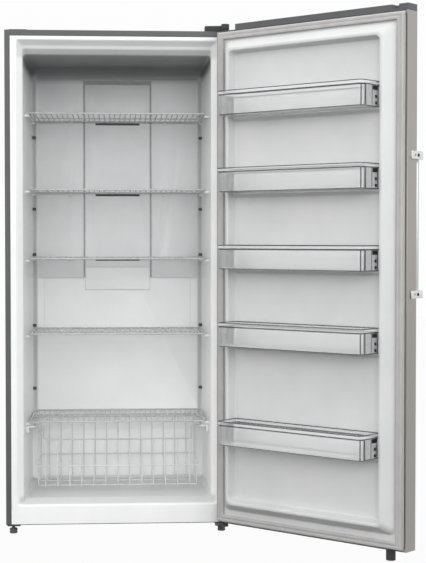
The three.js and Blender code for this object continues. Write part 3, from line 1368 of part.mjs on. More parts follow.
// The door's pieces are drawn closed, inside a group that turns about the hinge axis.
const door = new THREE.Group();
const doorFootAt = { x: -halfWidth + DOOR_FOOT_INSET, y: (doorFace - DOOR_BACK) / 2 };
const doorFoot = bar('z', DOOR_FOOT_RADIUS, [DOOR_FOOT_CLEARANCE, doorBottom - SEAT], doorFootAt);
const capTop = doorTop + SEAT + CAP_LID;
const upperBush = hingeBush(hingePlateBottom - SEAT, capTop + SEAT, doorTop - DOOR_CAP_DEPTH);
const lowerBush = hingeBush(basePanBottom, doorBottom - SEAT, doorBottom + DOOR_CAP_DEPTH);
door.add(
  part('door_skin', doorSkin(), stainless),
  part('door_top_cap', doorTopCap(), blackPlastic),
  part('door_bottom_cap', doorBottomCap(), blackPlastic),
  part('door_liner', doorLiner(), whiteLiner),
  part('door_foam', doorFoam(), paleFoam),
  part('door_gasket', doorGasket(), greyGasket),
  part('door_bush_upper', upperBush, whiteWire),
  part('door_bush_lower', lowerBush, whiteWire),
  part('door_foot', doorFoot, blackPlastic),
  part('handle_bracket_upper', handleBracket(handleTop - BRACKET_HEIGHT), satinSteel),
  part('handle_bracket_lower', handleBracket(handleBottom), satinSteel),
  part('handle_bar', bar('z', BAR_RADIUS, [handleBottom, handleTop], barAt), satinSteel),
);
binRims.forEach((rim, index) => {
  door.add(part(`door_bin_${index + 1}`, doorBin(rim), clearPlastic));
});
door.children.forEach((piece) => piece.position.set(-hingeX, HINGE_FORWARD, 0));
door.position.set(hingeX, -HINGE_FORWARD, 0);
door.rotation.z = THREE.MathUtils.degToRad(DOOR_OPEN);
freezer.add(door);

freezer.position.set(footX, -FOOT_Y, 0);

export default freezer;
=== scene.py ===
# %% [markdown]
# # An upright freezer with its door open
# The model has already been built as solids, in metres, with Z up. This script dresses those solids:
# it rounds their edges, replaces the ones that need finer forms, and gives each the surface of the
# material it is really made of. The solids themselves stay where they are, because the moving parts
# and their clearances depend on them.

# %% Load the solids
import json
import math

import bmesh
import bpy
from mathutils import Matrix, Vector


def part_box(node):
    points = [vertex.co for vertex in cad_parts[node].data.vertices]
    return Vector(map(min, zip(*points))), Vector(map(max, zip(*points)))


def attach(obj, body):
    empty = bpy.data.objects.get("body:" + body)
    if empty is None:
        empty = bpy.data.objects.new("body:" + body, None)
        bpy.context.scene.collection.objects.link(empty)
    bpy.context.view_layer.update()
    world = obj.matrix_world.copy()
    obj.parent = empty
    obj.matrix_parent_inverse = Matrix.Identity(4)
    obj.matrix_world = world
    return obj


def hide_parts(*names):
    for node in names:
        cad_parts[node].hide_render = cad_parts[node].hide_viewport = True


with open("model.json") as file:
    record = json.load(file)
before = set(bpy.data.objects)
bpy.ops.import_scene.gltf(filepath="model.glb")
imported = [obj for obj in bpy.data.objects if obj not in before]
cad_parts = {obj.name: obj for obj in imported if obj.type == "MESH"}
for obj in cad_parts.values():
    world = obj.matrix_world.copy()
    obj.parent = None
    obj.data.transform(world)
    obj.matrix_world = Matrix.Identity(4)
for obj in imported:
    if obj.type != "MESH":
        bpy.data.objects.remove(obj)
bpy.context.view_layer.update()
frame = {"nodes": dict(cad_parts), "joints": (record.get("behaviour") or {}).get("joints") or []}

# %% [markdown]
# ## Working in millimetres
# A refrigerator maker gives sizes in millimetres from the middle of the cabinet's front. Typing those
# numbers directly is easier to check than metres from a foot, so two matrices carry them over: one for
# the cabinet, and one for the door, which is drawn closed and then swung open about its hinge.

# %% Two spaces, one for the cabinet and one for the door
wrapper_low, wrapper_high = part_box("outer_wrapper")
cabinet_front = Vector(((wrapper_low.x + wrapper_high.x) / 2, wrapper_low.y, 0))
cabinet_space = Matrix.Translation(cabinet_front) @ Matrix.Scale(0.001, 4)

DOOR_OPEN = math.radians(136)
hinge = next(joint for joint in frame["joints"] if joint["name"] == "door_hinge")
hinge_line = Vector((hinge["pos_m"][0], hinge["pos_m"][1], 0))
swing = (Matrix.Translation(hinge_line) @ Matrix.Rotation(DOOR_OPEN, 4, "Z")
         @ Matrix.Translation(-hinge_line))
door_space = swing @ cabinet_space


def span(node, space):
    """Lowest and highest corner of a solid, in the millimetres of that space."""
    back = space.inverted()
    points = [back @ vertex.co for vertex in frame["nodes"][node].data.vertices]
    low = Vector([min(point[axis] for point in points) for axis in range(3)])
    high = Vector([max(point[axis] for point in points) for axis in range(3)])
    return low, high


for node, space in (("outer_wrapper", cabinet_space), ("door_skin", door_space)):
    print(node, "in mm:", [round(v, 1) for corner in span(node, space) for v in corner])

# %% [markdown]
# ## The camera
# The picture was taken from about five and a half metres away, at chest height, with a long lens that
# looks slightly to the right and slightly down. The camera comes first, because every later choice is
# judged through it. The numbers come from fitting the cabinet's straight edges to the picture.

# %% Place the camera
LENS_MM, SENSOR_MM = 122.8, 36
CAMERA_PLACE_MM = Vector((9, -5436, 1105))
CAMERA_TILT_DEG, CAMERA_TURN_DEG = 88.32, -3.667

camera_data = bpy.data.cameras.new("camera")
camera_data.sensor_fit = "HORIZONTAL"
camera_data.sensor_width = SENSOR_MM
camera_data.lens = LENS_MM
camera_data.clip_end = 60
camera = bpy.data.objects.new("camera", camera_data)
camera.location = cabinet_space @ CAMERA_PLACE_MM
camera.rotation_euler = (math.radians(CAMERA_TILT_DEG), 0, math.radians(CAMERA_TURN_DEG))
bpy.context.scene.collection.objects.link(camera)
bpy.context.scene.camera = camera
print("camera at", [round(v, 3) for v in camera.location])

# %% [markdown]
# ## Colours and shader nodes
# Colours are picked as sRGB hex values, the way a paint or plastics supplier writes them. Blender's
# shaders work in linear light, so one function converts them. A second small function adds any shader
# node together with its settings and links, which keeps each material readable from top to bottom.

# %% Helpers for colours and nodes
def linear(hex_colour):
    """A colour such as 'e8e9ea' as linear red, green, blue and alpha."""
    channels = [int(hex_colour[start:start + 2], 16) / 255 for start in (0, 2, 4)]
    return [c / 12.92 if c <= 0.04045 else ((c + 0.055) / 1.055) ** 2.4 for c in channels] + [1]


def add_node(tree, kind, inputs=None, **settings):
    """Adds a node. An input is a plain value, or another node's output to link from."""
    node = tree.nodes.new(kind)
    for name, value in settings.items():
        setattr(node, name, value)
    for socket, value in (inputs or {}).items():
        if isinstance(value, bpy.types.NodeSocket):
            tree.links.new(value, node.inputs[socket])
        else:
            node.inputs[socket].default_value = value
    return node


print("mid grey in linear light:", round(linear("808080")[0], 3))

# %% [markdown]
# Every material has one Principled shader, whose fixed values sit on its own sockets, and reads the
# place of a point on the object. A helper hands these back to whoever adds to the material later.

# %% A new material, and how to open it again
def new_surface(name, **constants):
    """A material with one Principled shader, its fixed values set on its own sockets."""
    material = bpy.data.materials.new(name)
    material.use_nodes = True
    tree = material.node_tree
    tree.nodes.clear()
    shader = add_node(tree, "ShaderNodeBsdfPrincipled")
    add_node(tree, "ShaderNodeOutputMaterial", {"Surface": shader.outputs["BSDF"]})
    for socket, value in constants.items():
        shader.inputs[socket.replace("_", " ")].default_value = value
    add_node(tree, "ShaderNodeTexCoord")
    return material


def opened(material):
    """A material's node tree, its shader, and the place of a point on the object."""
    tree = material.node_tree
    place = tree.nodes["Texture Coordinate"].outputs["Object"]
    return tree, tree.nodes["Principled BSDF"], place


# %% [markdown]
# A texture's scale in Blender is how many times it repeats in a metre, because the object coordinates
# are in metres. Thinking in the real size of one spot or one scratch is easier, so this turns
# millimetres into that scale.

# %% From the size of a pattern to its scale
def per_metre(millimetres):
    return 1000 / millimetres


print("a 2 mm pattern has the scale", per_metre(2))

# %% [markdown]
# ## Mottled colour, roughness and bump
# No real surface has one exact colour or gloss. Handling, cleaning and the process that made it leave
# slow, faint changes. The same three steps give them to every plain surface here: a noise pattern, a
# small range of colour, and a small range of roughness, with a bump for the part that is relief.

# %% One way to give a surface its small changes
LOW_SPOT, HIGH_SPOT = 0.3, 0.7  # the noise seldom leaves this range


def mottled(name, colours, roughness, spot_mm, bump_mm=0.0, grain_mm=2.0, stretch=(1, 1, 1),
            **constants):
    """A surface whose colour and roughness drift between two values each, in spots of that size."""
    material = new_surface(name, **constants)
    tree, shader, place = opened(material)
    spread = add_node(tree, "ShaderNodeMapping", {
        "Vector": place, "Scale": stretch,
    }).outputs["Vector"]
    spots = add_node(tree, "ShaderNodeTexNoise", {
        "Vector": spread, "Scale": per_metre(spot_mm), "Detail": 4.0, "Roughness": 0.55,
    }).outputs["Fac"]
    ramp = add_node(tree, "ShaderNodeValToRGB", {"Fac": spots})
    for k, position in enumerate((LOW_SPOT, HIGH_SPOT)):
        ramp.color_ramp.elements[k].position = position
        ramp.color_ramp.elements[k].color = linear(colours[k])
    tree.links.new(ramp.outputs["Color"], shader.inputs["Base Color"])
    gloss = add_node(tree, "ShaderNodeMapRange", {
        "Value": spots, "From Min": LOW_SPOT, "From Max": HIGH_SPOT,
        "To Min": roughness[0], "To Max": roughness[1],
    })
    tree.links.new(gloss.outputs["Result"], shader.inputs["Roughness"])
    if bump_mm:
        grain = add_node(tree, "ShaderNodeTexNoise", {
            "Vector": spread, "Scale": per_metre(grain_mm), "Detail": 2.0,
        })
        bump = add_node(tree, "ShaderNodeBump", {
            "Height": grain.outputs["Fac"], "Distance": bump_mm / 1000, "Strength": 1.0,
        })
        tree.links.new(bump.outputs["Normal"], shader.inputs["Normal"])
    print("made", name)
    return material


# %% [markdown]
# ## The cabinet's paint
# The wrapper is steel sheet, coated with polyester paint before it is folded. Baked paint levels out
# but keeps a faint orange peel, here about 3 mm from crest to crest. That and a satin gloss make the
# reflections soft-edged. It is drawn as paint, a dielectric with an IOR near 1.5, not as a metal.

# %% Graphite polyester paint on steel sheet
coil_coated_paint = mottled(
    "coil_coated_graphite_paint", ("58595b", "606163"), (0.4, 0.5), spot_mm=120, bump_mm=0.03,
    grain_mm=3, IOR=1.5, Specular_IOR_Level=0.3,
)

# %% [markdown]
# ## The white plastic of the liners
# A liner starts as a flat sheet of high-impact polystyrene that is heated and drawn by vacuum over a
# mould. The extruded sheet is glossy and a little wavy, and it is thinner where it was stretched most.
# A long, low waviness in the bump breaks up its reflections the way the real sheet does. The door's
# sheet looks greyer in the picture than the cabinet's because it stands in less light, so the same
# white is drawn in two greyer whites: painted shade. The strip of foam that seals the duct's joint is
# cut from polyethylene, dull, with cells about 1 mm across; its grey is painted shade for the dark
# joint.

# %% Vacuum-formed high-impact polystyrene, and a strip of foam
FORMED = {"roughness": (0.3, 0.4), "spot_mm": 160, "bump_mm": 0.25, "grain_mm": 70,
          "IOR": 1.59, "Specular_IOR_Level": 0.42}
FORMED_WHITES = ("eff0f0", "f6f6f6")
formed_polystyrene = mottled("vacuum_formed_polystyrene", FORMED_WHITES, **FORMED)
seam_foam_painted_shade = mottled(
    "polyethylene_foam_strip_painted_shade", ("aaabac", "b8b9ba"), (0.8, 0.9), spot_mm=25, bump_mm=0.1,
    grain_mm=1, IOR=1.5, Specular_IOR_Level=0.2,
)
# The door's greyer whites are painted shade on the same sheet as the cabinet's.
door_polystyrene_painted_shade = mottled("vacuum_formed_polystyrene_door_painted_shade", ("cccdcd", "d4d4d4"), **FORMED)

# %% [markdown]
# The duct cover and the basket's rails are the same plastic by another route: injection moulded,
# against a mould with a fine matt texture. They look a touch greyer and less shiny.

# %% Injection-moulded polystyrene
MOULDED = {"roughness": (0.42, 0.52), "spot_mm": 140, "bump_mm": 0.02, "grain_mm": 1.6,
           "IOR": 1.59, "Specular_IOR_Level": 0.4}
MOULDED_WHITES = ("e3e4e5", "eaebeb")
moulded_polystyrene = mottled("injection_moulded_polystyrene", MOULDED_WHITES, **MOULDED)

# %% [markdown]
# ## Epoxy-coated wire
# Shelves and basket are welded from steel wire and dipped in white epoxy powder, which melts to a
# thick smooth skin. The skin is thinner on top of the weld beads, so the gloss changes along a wire.
# In the picture the shelves and the basket's rim look greyer than the basket's thin wires, which are
# seen against the light. The one white coat is drawn in two greys, both painted shade, the greyer one
# on the shelves and the rim.

# %% Powder-coated steel wire
COATED = {"roughness": (0.26, 0.38), "spot_mm": 18, "bump_mm": 0.05, "grain_mm": 6,
          "IOR": 1.5, "Coat_Weight": 0.3, "Coat_Roughness": 0.15}
# Both greys are painted shade on one white epoxy coat.
basket_wire = mottled("epoxy_coated_basket_wire_painted_shade", ("d2d3d3", "dfe0e0"), **COATED)
coated_wire_painted_shade = mottled("epoxy_coated_steel_wire_painted_shade", ("b6b7b7", "c6c7c7"), **COATED)

# %% [markdown]
# ## Brushed stainless steel
# The door's sheet is stainless steel that a belt of grit has brushed from top to bottom. The scratches
# are under a tenth of a millimetre apart, far too fine for one pixel, so they are drawn 1.2 mm apart
# across and 400 mm long. The brushing stretches highlights sideways, which the anisotropy gives.

# %% Stainless steel, brushed with a belt
brushed_stainless = mottled(
    "belt_brushed_stainless_steel", ("97948f", "a5a29d"), (0.3, 0.42), spot_mm=1.2, bump_mm=0.012,
    grain_mm=1.2, stretch=(1, 1, 0.003), Metallic=1.0, Anisotropic=0.5,
)

# %% [markdown]
# ## The handle's metals
# The bar is an extruded aluminium tube, satin anodised, so its scratches are sealed under a clear
# oxide. The brackets are zinc, cast under pressure and plated with satin chrome. Casting leaves no
# direction in the surface, so the brackets get round spots and the bar gets lengthwise ones.

# %% Anodised aluminium and plated zinc
anodised_aluminium = mottled(
    "satin_anodised_aluminium", ("b9bab9", "c6c7c6"), (0.26, 0.34), spot_mm=1.5, bump_mm=0.01,
    grain_mm=1.5, stretch=(1, 1, 0.01), Metallic=1.0,
)
plated_zinc = mottled(
    "satin_plated_cast_zinc", ("c9c9c7", "d6d6d4"), (0.22, 0.32), spot_mm=12, bump_mm=0.02,
    grain_mm=4, Metallic=1.0,
)

# %% [markdown]
# ## Clear polystyrene for the bins
# The bins are moulded from crystal polystyrene, a brittle and very clear plastic. Light goes straight
# through its faces and gathers in its edges and corners, which is why a clear bin is read by its
# outlines. The outer faces are a thin film that grows denser as a face turns away from the eye, as a
# clear face reflects more at a slant; the film's near-white colour is painted reflection, for the
# plastic has no colour of its own.

# %% Crystal polystyrene, the outer faces
# The near-white tints are painted reflection on a colourless plastic.
CLEAR_TINTS = ("f7f8f8", "fcfcfc")
THIN_FILM, DENSE_FILM = 0.3, 0.85
crystal_polystyrene = mottled(
    "crystal_polystyrene", CLEAR_TINTS, (0.08, 0.14), spot_mm=90, bump_mm=0.05, grain_mm=45,
    IOR=1.59,
)
tree, shader = opened(crystal_polystyrene)[:2]
slant = add_node(tree, "ShaderNodeLayerWeight", {"Blend": 0.35}).outputs["Facing"]
cover = add_node(tree, "ShaderNodeMapRange", {
    "Value": slant, "From Min": 0.2, "From Max": 1.0, "To Min": THIN_FILM, "To Max": DENSE_FILM,
})
tree.links.new(cover.outputs["Result"], shader.inputs["Alpha"])

# %% [markdown]
# The other faces of a bin have fixed densities. The inner walls are almost nothing, or they would veil
# what lies in the ends. The edges carry the dark outline: painted shade, for the dark lines that
# refraction draws along a clear edge and corner. Each end wall is a pale plate in front of a grey one,
# whose grey is painted shade for the ribs behind it, and the sockets that take the door's lugs are
# nearly black, painted shade, because no light comes back out of them.

# %% Crystal polystyrene, the other faces
def crystal_face(face, tints, roughness, spot_mm, density):
    name = "crystal_polystyrene_" + face
    return mottled(name, tints, roughness, spot_mm, IOR=1.59, Alpha=density)


crystal_clear = crystal_face("clear", CLEAR_TINTS, (0.08, 0.14), 90, 0.06)
# The dark edge, the grey plate and the black sockets are painted shade.
crystal_edge_painted_shade = crystal_face("edge", ("3b3f42", "4b4f52"), (0.1, 0.18), 30, 0.85)
crystal_end = crystal_face("end", ("c2c4c5", "d2d3d4"), (0.12, 0.2), 12, 0.7)
crystal_inside_painted_shade = crystal_face("inside", ("7e8082", "9a9c9e"), (0.12, 0.2), 12, 0.66)
crystal_hook_painted_shade = crystal_face("hook", ("101112", "1c1d1f"), (0.1, 0.18), 10, 0.9)

# %% [markdown]
# ## Soft and dark plastics
# The gasket is soft PVC extruded in one length and welded at its corners. It is dull, slightly pink
# beside the cold white of the liners, and picks up dust. The hinge cover, the door's bottom cap and
# its foot are black polypropylene from a spark-eroded mould, which has a fine sandy texture of about
# half a millimetre. The door's top cap and the levelling feet are the same plastic in dark grey.

# %% Soft PVC, polypropylene and rubber
gasket_vinyl = mottled(
    "extruded_soft_vinyl", ("acabaa", "b6b5b4"), (0.55, 0.68), spot_mm=60, bump_mm=0.04, grain_mm=3,
    IOR=1.53, Specular_IOR_Level=0.35,
)
TEXTURED = {"roughness": (0.48, 0.6), "spot_mm": 30, "bump_mm": 0.05, "grain_mm": 0.8,
            "IOR": 1.49, "Specular_IOR_Level": 0.45}
black_polypropylene = mottled("textured_black_polypropylene", ("26272a", "2f3033"), **TEXTURED)
grey_polypropylene = mottled("textured_grey_polypropylene", ("4b4c4e", "555659"), **TEXTURED)
grommet_rubber = mottled(
    "moulded_black_rubber", ("181818", "222222"), (0.75, 0.88), spot_mm=10, bump_mm=0.05,
    grain_mm=1, IOR=1.52, Specular_IOR_Level=0.3,
)

# %% [markdown]
# ## Steel that is seldom seen
# The lower hinge bracket, foot plate and base pan are pressed steel under black enamel. The back
# panel, the louvred cover and the upper hinge bracket are galvanised: molten zinc freezes on the
# sheet in flat crystals, the spangle, about 15 mm across, and neighbouring crystals reflect
# differently. A Voronoi pattern gives one grey to each cell, just as each crystal has one.

# %% Black enamel
black_enamel = mottled(
    "black_enamelled_steel", ("17181a", "1f2022"), (0.3, 0.42), spot_mm=25, bump_mm=0.04,
    grain_mm=3, IOR=1.5, Coat_Weight=0.4, Coat_Roughness=0.12,
)

# %% Galvanised sheet with its spangle
SPANGLE_MM = 15
galvanised_sheet = new_surface("hot_dip_galvanised_sheet", Metallic=0.9)
tree, shader, place = opened(galvanised_sheet)
crystals = add_node(tree, "ShaderNodeTexVoronoi", {"Vector": place, "Scale": per_metre(SPANGLE_MM)})
tone = add_node(tree, "ShaderNodeSeparateColor", {"Color": crystals.outputs["Color"]})
greys = add_node(tree, "ShaderNodeValToRGB", {"Fac": tone.outputs["Red"]})
greys.color_ramp.elements[0].color = linear("8b8f92")
greys.color_ramp.elements[1].color = linear("a7abad")
tree.links.new(greys.outputs["Color"], shader.inputs["Base Color"])
dullness = add_node(tree, "ShaderNodeMapRange", {
    "Value": tone.outputs["Green"], "To Min": 0.38, "To Max": 0.55,
})
tree.links.new(dullness.outputs["Result"], shader.inputs["Roughness"])
print("made", galvanised_sheet.name)

# %% [markdown]
# ## What is inside the walls and behind the covers
# Polyurethane foam is blown between liner and sheet and sets to pale yellow cells under a millimetre
# across. The evaporator is bent aluminium tube. The hot gas tube is drawn copper, which tarnishes in
# brown clouds. None of them is in the picture, but each shows when a cover or the door is opened up.

# %% Foam, aluminium tube and copper
insulating_foam = mottled(
    "blown_polyurethane_foam", ("d9cba0", "e6dab4"), (0.85, 0.95), spot_mm=20, bump_mm=0.3,
    grain_mm=2, IOR=1.4, Specular_IOR_Level=0.2,
)
drawn_aluminium = mottled(
    "drawn_aluminium_tube", ("b4b6b8", "c4c6c8"), (0.35, 0.48), spot_mm=15, bump_mm=0.02,
    grain_mm=3, Metallic=1.0,
)
drawn_copper = mottled(
    "drawn_copper_tube", ("a9683f", "c07a4c"), (0.28, 0.45), spot_mm=22, bump_mm=0.02, grain_mm=4,
    Metallic=1.0,
)
print("surfaces:", len(bpy.data.materials))

# %% [markdown]
# ## Rounding the edges of a solid
# Folded sheet and moulded plastic never have a knife edge: a small radius catches a thin line of
# light, and that line tells the eye what it is looking at. Modelling every radius by hand would be
# slow, so a copy of each plain solid gets a bevel. The copy is first cleaned of the flat triangles
# that a solid is stored with, so that the bevel meets only real edges.

# %% A rounded copy of a solid
WELD_M = 2e-5
FLAT_DEG, EDGE_DEG, CREASE_DEG = 0.6, 28, 32


def finish_mesh(mesh, material, crease):
    """Smooth shading with sharp edges above the crease angle, and one material."""
    mesh.materials.clear()
    mesh.materials.append(material)
    mesh.shade_smooth()
    mesh.set_sharp_from_angle(angle=math.radians(crease))


def rounded_copy(node, body, material, radius_mm, segments=2):
    """Replaces a solid by a copy with rounded edges, in the same place."""
    mesh = frame["nodes"][node].data.copy()
    cleaner = bmesh.new()
    cleaner.from_mesh(mesh)
    bmesh.ops.remove_doubles(cleaner, verts=cleaner.verts, dist=WELD_M)
    bmesh.ops.dissolve_limit(
        cleaner, angle_limit=math.radians(FLAT_DEG), verts=cleaner.verts, edges=cleaner.edges)
    cleaner.to_mesh(mesh)
    cleaner.free()
    piece = bpy.data.objects.new(node + "_dressed", mesh)
    bpy.context.scene.collection.objects.link(piece)
    bevel = piece.modifiers.new("rounding", "BEVEL")
    bevel.width = radius_mm / 1000
    bevel.segments = segments
    bevel.limit_method = "ANGLE"
    bevel.angle_limit = math.radians(EDGE_DEG)
    evaluated = piece.evaluated_get(bpy.context.evaluated_depsgraph_get())
    rounded = bpy.data.meshes.new_from_object(evaluated)
    piece.modifiers.clear()
    piece.data = rounded
    finish_mesh(rounded, material, CREASE_DEG)
    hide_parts(node)
    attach(piece, body)


# %% [markdown]
# ## The outer shell
# The wrapper is one sheet folded over both sides and the top, and turned in at the front. Its folds
# are tight, so the bevel is only 0.4 mm wide. The base pan, back panel and louvred cover close it
# underneath and behind. The foam between the walls keeps its solid and only gets its material.

# %% Dress the outer shell
def dress(body, *rows):
    """Rounded copies of solids on one body; a row is a material, a radius in mm and the solids."""
    for material, radius_mm, *nodes in rows:
        for node in nodes:
            rounded_copy(node, body, material, radius_mm)
        print(material.name, "on", *nodes)


def paint_solid(node, material):
    """Gives a solid its material and leaves its shape alone."""
    slots = frame["nodes"][node].data.materials
    slots.clear()
    slots.append(material)


dress(
    "cabinet",
    (coil_coated_paint, 0.4, "outer_wrapper"),
    (coil_coated_paint, 1.0, "spare_hinge_cover"),
    (black_enamel, 0.5, "base_pan"),
    (galvanised_sheet, 0.3, "back_panel", "machine_cover", "compartment_panel"),
)
paint_solid("cabinet_foam", insulating_foam)

# %% [markdown]
# ## Surfaces made of rings
# Most formed parts of a freezer are a stack of rounded rectangles: the liner seen from the front, the
# raised dyke of the door, a bin seen from above. A ring is one such rectangle as a list of points,
# and a surface joins ring to ring. With a fixed number of points per corner, each ring matches the
# next.

# %% Rings, circles and the surfaces between them
def ring(u_low, u_high, v_low, v_high, low_radius, high_radius=None, steps=6):
    """Points round a rounded rectangle, anticlockwise, starting at its top right corner."""
    high_radius = low_radius if high_radius is None else high_radius
    corners = [
        (u_high - high_radius, v_high - high_radius, high_radius, 0),
        (u_low + high_radius, v_high - high_radius, high_radius, 90),
        (u_low + low_radius, v_low + low_radius, low_radius, 180),
        (u_high - low_radius, v_low + low_radius, low_radius, 270),
    ]
    points = []
    for u, v, radius, start in corners:
        for step in range(steps + 1):
            angle = math.radians(start + 90 * step / steps)
            points.append((u + radius * math.cos(angle), v + radius * math.sin(angle)))
    return points


def circle(steps):
    """Cosine and sine of evenly spaced angles, once round."""
    angles = [2 * math.pi * k / steps for k in range(steps)]
    return [(math.cos(angle), math.sin(angle)) for angle in angles]


def ring_faces(count, size, first=0, closed=False, ends=()):
    """Four-sided faces between neighbouring rings of a stack, and one face over each named end."""
    faces = []
    for level in range(count if closed else count - 1):
        here = first + level * size
        above = first + ((level + 1) % count) * size
        for k in range(size):
            after = (k + 1) % size
            faces.append((here + k, here + after, above + after, above + k))
    for end in ends:
        start = first + (end % count) * size
        faces.append(tuple(range(start, start + size)))
    return faces


print("faces of a closed cube:", len(ring_faces(2, 4, ends=(0, -1))))

# %% [markdown]
# Points and faces become a piece in the same way every time. They are typed in the millimetres of the
# cabinet or of the closed door, and the matrix of that space carries them to their place.

# %% From points and faces to a piece
def make_piece(name, vertices_mm, faces, space, material, crease):
    """A mesh from points in the millimetres of a space, with its faces turned outwards."""
    mesh = bpy.data.meshes.new(name)
    mesh.from_pydata([space @ Vector(point) for point in vertices_mm], [], faces)
    turner = bmesh.new()
    turner.from_mesh(mesh)
    bmesh.ops.recalc_face_normals(turner, faces=turner.faces)
    turner.to_mesh(mesh)
    turner.free()
    finish_mesh(mesh, material, crease)
    piece = bpy.data.objects.new(name, mesh)
    bpy.context.scene.collection.objects.link(piece)
    print(name, "has", len(faces), "faces")
    return piece


# %% [markdown]
# ## Easing the corners between rings
# A vacuum cannot pull plastic into a sharp corner, so every corner of a formed liner is a curve. Each
# section below is a list of numbers, and easing replaces a corner section by a short curve between
# points a few millimetres before and after it. The same numbers stay easy to read as a plain profile.

# %% Replace each corner section by a short curve
def eased(sections, reach=4, steps=3):
    """Rounds a list of sections: each inner one becomes a curve of steps + 1 sections."""
    smooth = [sections[0]]
    for before, corner, after in zip(sections, sections[1:], sections[2:]):
        ends = []
        for other in (before, after):
            length = math.dist(corner[:4], other[:4])
            share = min(reach / length, 0.45) if length else 0
            ends.append([c + (o - c) * share for c, o in zip(corner, other)])
        for step in range(steps + 1):
            t = step / steps
            smooth.append([
                (1 - t) ** 2 * a + 2 * t * (1 - t) * c + t * t * b
                for a, c, b in zip(ends[0], corner, ends[1])
            ])
    return smooth + [sections[-1]]


def formed_sheet(sections):
    """Points and faces of a sheet from rings of depth, half width, bottom, top and radius."""
    vertices = []
    for depth, half, bottom, top, radius in sections:
        vertices += [(x, depth, z) for x, z in ring(-half, half, bottom, top, radius)]
    return vertices, ring_faces(len(sections), len(vertices) // len(sections), ends=(-1,))


# %% [markdown]
# ## The cabinet's liner
# Seen from the front the liner has a flat white flange, a slope that leads into the throat, a step
# under the top where the cold air turns, and long walls that draw in slightly towards the back so the
# part comes off its mould. The compressor stands behind the lowest part of the back wall, so the floor
# steps up there and slopes back above the step. The sections run from the flange's outer edge to the
# back wall, as depth, half width, floor, ceiling and corner radius in millimetres.

# %% Form the cabinet's liner
cabinet_top = span("outer_wrapper", cabinet_space)[1].z
liner_low, liner_high = span("inner_liner", cabinet_space)
throat_sections = [
    [0.15, liner_high.x, liner_low.z, liner_high.z, 1.0],
    [0.0, 375, 108, cabinet_top - 35, 8],
    [20, 352, 116.8, cabinet_top - 55, 8],
    [22, 352, 117.7, cabinet_top - 67, 8],
    [50, 351, 130, cabinet_top - 87, 14],
    [435, 346, 130, cabinet_top - 89, 15],
    [470, 345.5, 130, cabinet_top - 97.3, 15],
    [476, 345.4, 132.5, cabinet_top - 98.6, 15],
    [480, 345.4, 142, cabinet_top - 99.5, 15],
    [480.2, 345.4, 322, cabinet_top - 99.5, 15],
]
back_sections = [
    [484, 345.4, 334, cabinet_top - 100.5, 15],
    [529, 345, 383, cabinet_top - 111, 15],
    [545, 333, 400, cabinet_top - 123, 14],
]
liner_vertices, liner_faces = formed_sheet(eased(throat_sections) + eased(back_sections, 14, 5))
print("liner points:", len(liner_vertices))

# %% [markdown]
# The picture shows the ceiling of the compartment almost as dark as slate, and its floor and rear
# corners a little greyer than its walls. That is shade, which studio light alone doesn't cast on a
# white liner, so the shade is painted into the sheet's colour by its place: by height for the top of
# the throat, the ceiling and the floor, by depth along the ceiling, which is darkest where it starts
# to slope down, and by distance from the middle for the rear corners. The painted shade stays with the
# object, wherever one stands.

# %% The painted shade along the ceiling, from front to back
FRONT_M = cabinet_front.y


def ceiling_painted_shade(tree, depth):
    """A ramp of painted shade greys from the throat to the back wall."""
    along = add_node(tree, "ShaderNodeMapRange", {
        "Value": depth, "From Min": FRONT_M + 0.05, "From Max": FRONT_M + 0.529,
    }).outputs["Result"]
    ramp = add_node(tree, "ShaderNodeValToRGB", {"Fac": along})
    tones = ramp.color_ramp.elements
    tones[0].color, tones[1].color = linear("909192"), linear("9a9b9c")
    for position, colour in ((0.25, "7b7c7d"), (0.5, "6a6b6c"), (0.8, "606162"), (0.9, "747576")):
        tones.new(position).color = linear(colour)
    return ramp.outputs["Color"]


# %% Paint shade on a surface by its place in the compartment
def paint_shade_by_place(material):
    """Mixes greys of painted shade in where two coordinates have both passed from a start to an end,
    in mm.
    """
    tree, shader, place = opened(material)
    axes = add_node(tree, "ShaderNodeSeparateXYZ", {"Vector": place}).outputs
    height, depth = axes["Z"], axes["Y"]
    off_centre = add_node(tree, "ShaderNodeMath", {0: axes["X"], 1: cabinet_front.x},
                          operation="SUBTRACT").outputs["Value"]
    sideways = add_node(tree, "ShaderNodeMath", {0: off_centre},
                        operation="ABSOLUTE").outputs["Value"]
    # each region is painted shade: a grey mixed in where the liner lies in shade
    painted_shade_regions = [  # the top of the throat, the ceiling, the floor and the rear corners
        (height, cabinet_top - 112, cabinet_top - 88, 1, 5, linear("dbdcdc")),
        (height, cabinet_top - 150, cabinet_top - 105, 40, 56, ceiling_painted_shade(tree, depth)),
        (height, 150, 128, 2, 14, linear("d0d1d1")),
        (sideways, 322, 334, 518, 538, linear("c2c3c3")),
    ]
    colour = shader.inputs["Base Color"].links[0].from_socket
    for coordinate, start, end, depth_start, depth_end, tone in painted_shade_regions:
        passed = [add_node(tree, "ShaderNodeMapRange", {
            "Value": value, "From Min": low_m, "From Max": high_m,
        }, interpolation_type="SMOOTHSTEP").outputs["Result"] for value, low_m, high_m in (
            (coordinate, start / 1000, end / 1000),
            (depth, FRONT_M + depth_start / 1000, FRONT_M + depth_end / 1000),
        )]
        mask = add_node(tree, "ShaderNodeMath", {0: passed[0], 1: passed[1]},
                        operation="MULTIPLY").outputs["Value"]
        colour = add_node(tree, "ShaderNodeMixRGB", {
            "Fac": mask, "Color1": colour, "Color2": tone,
        }).outputs["Color"]
    tree.links.new(colour, shader.inputs["Base Color"])


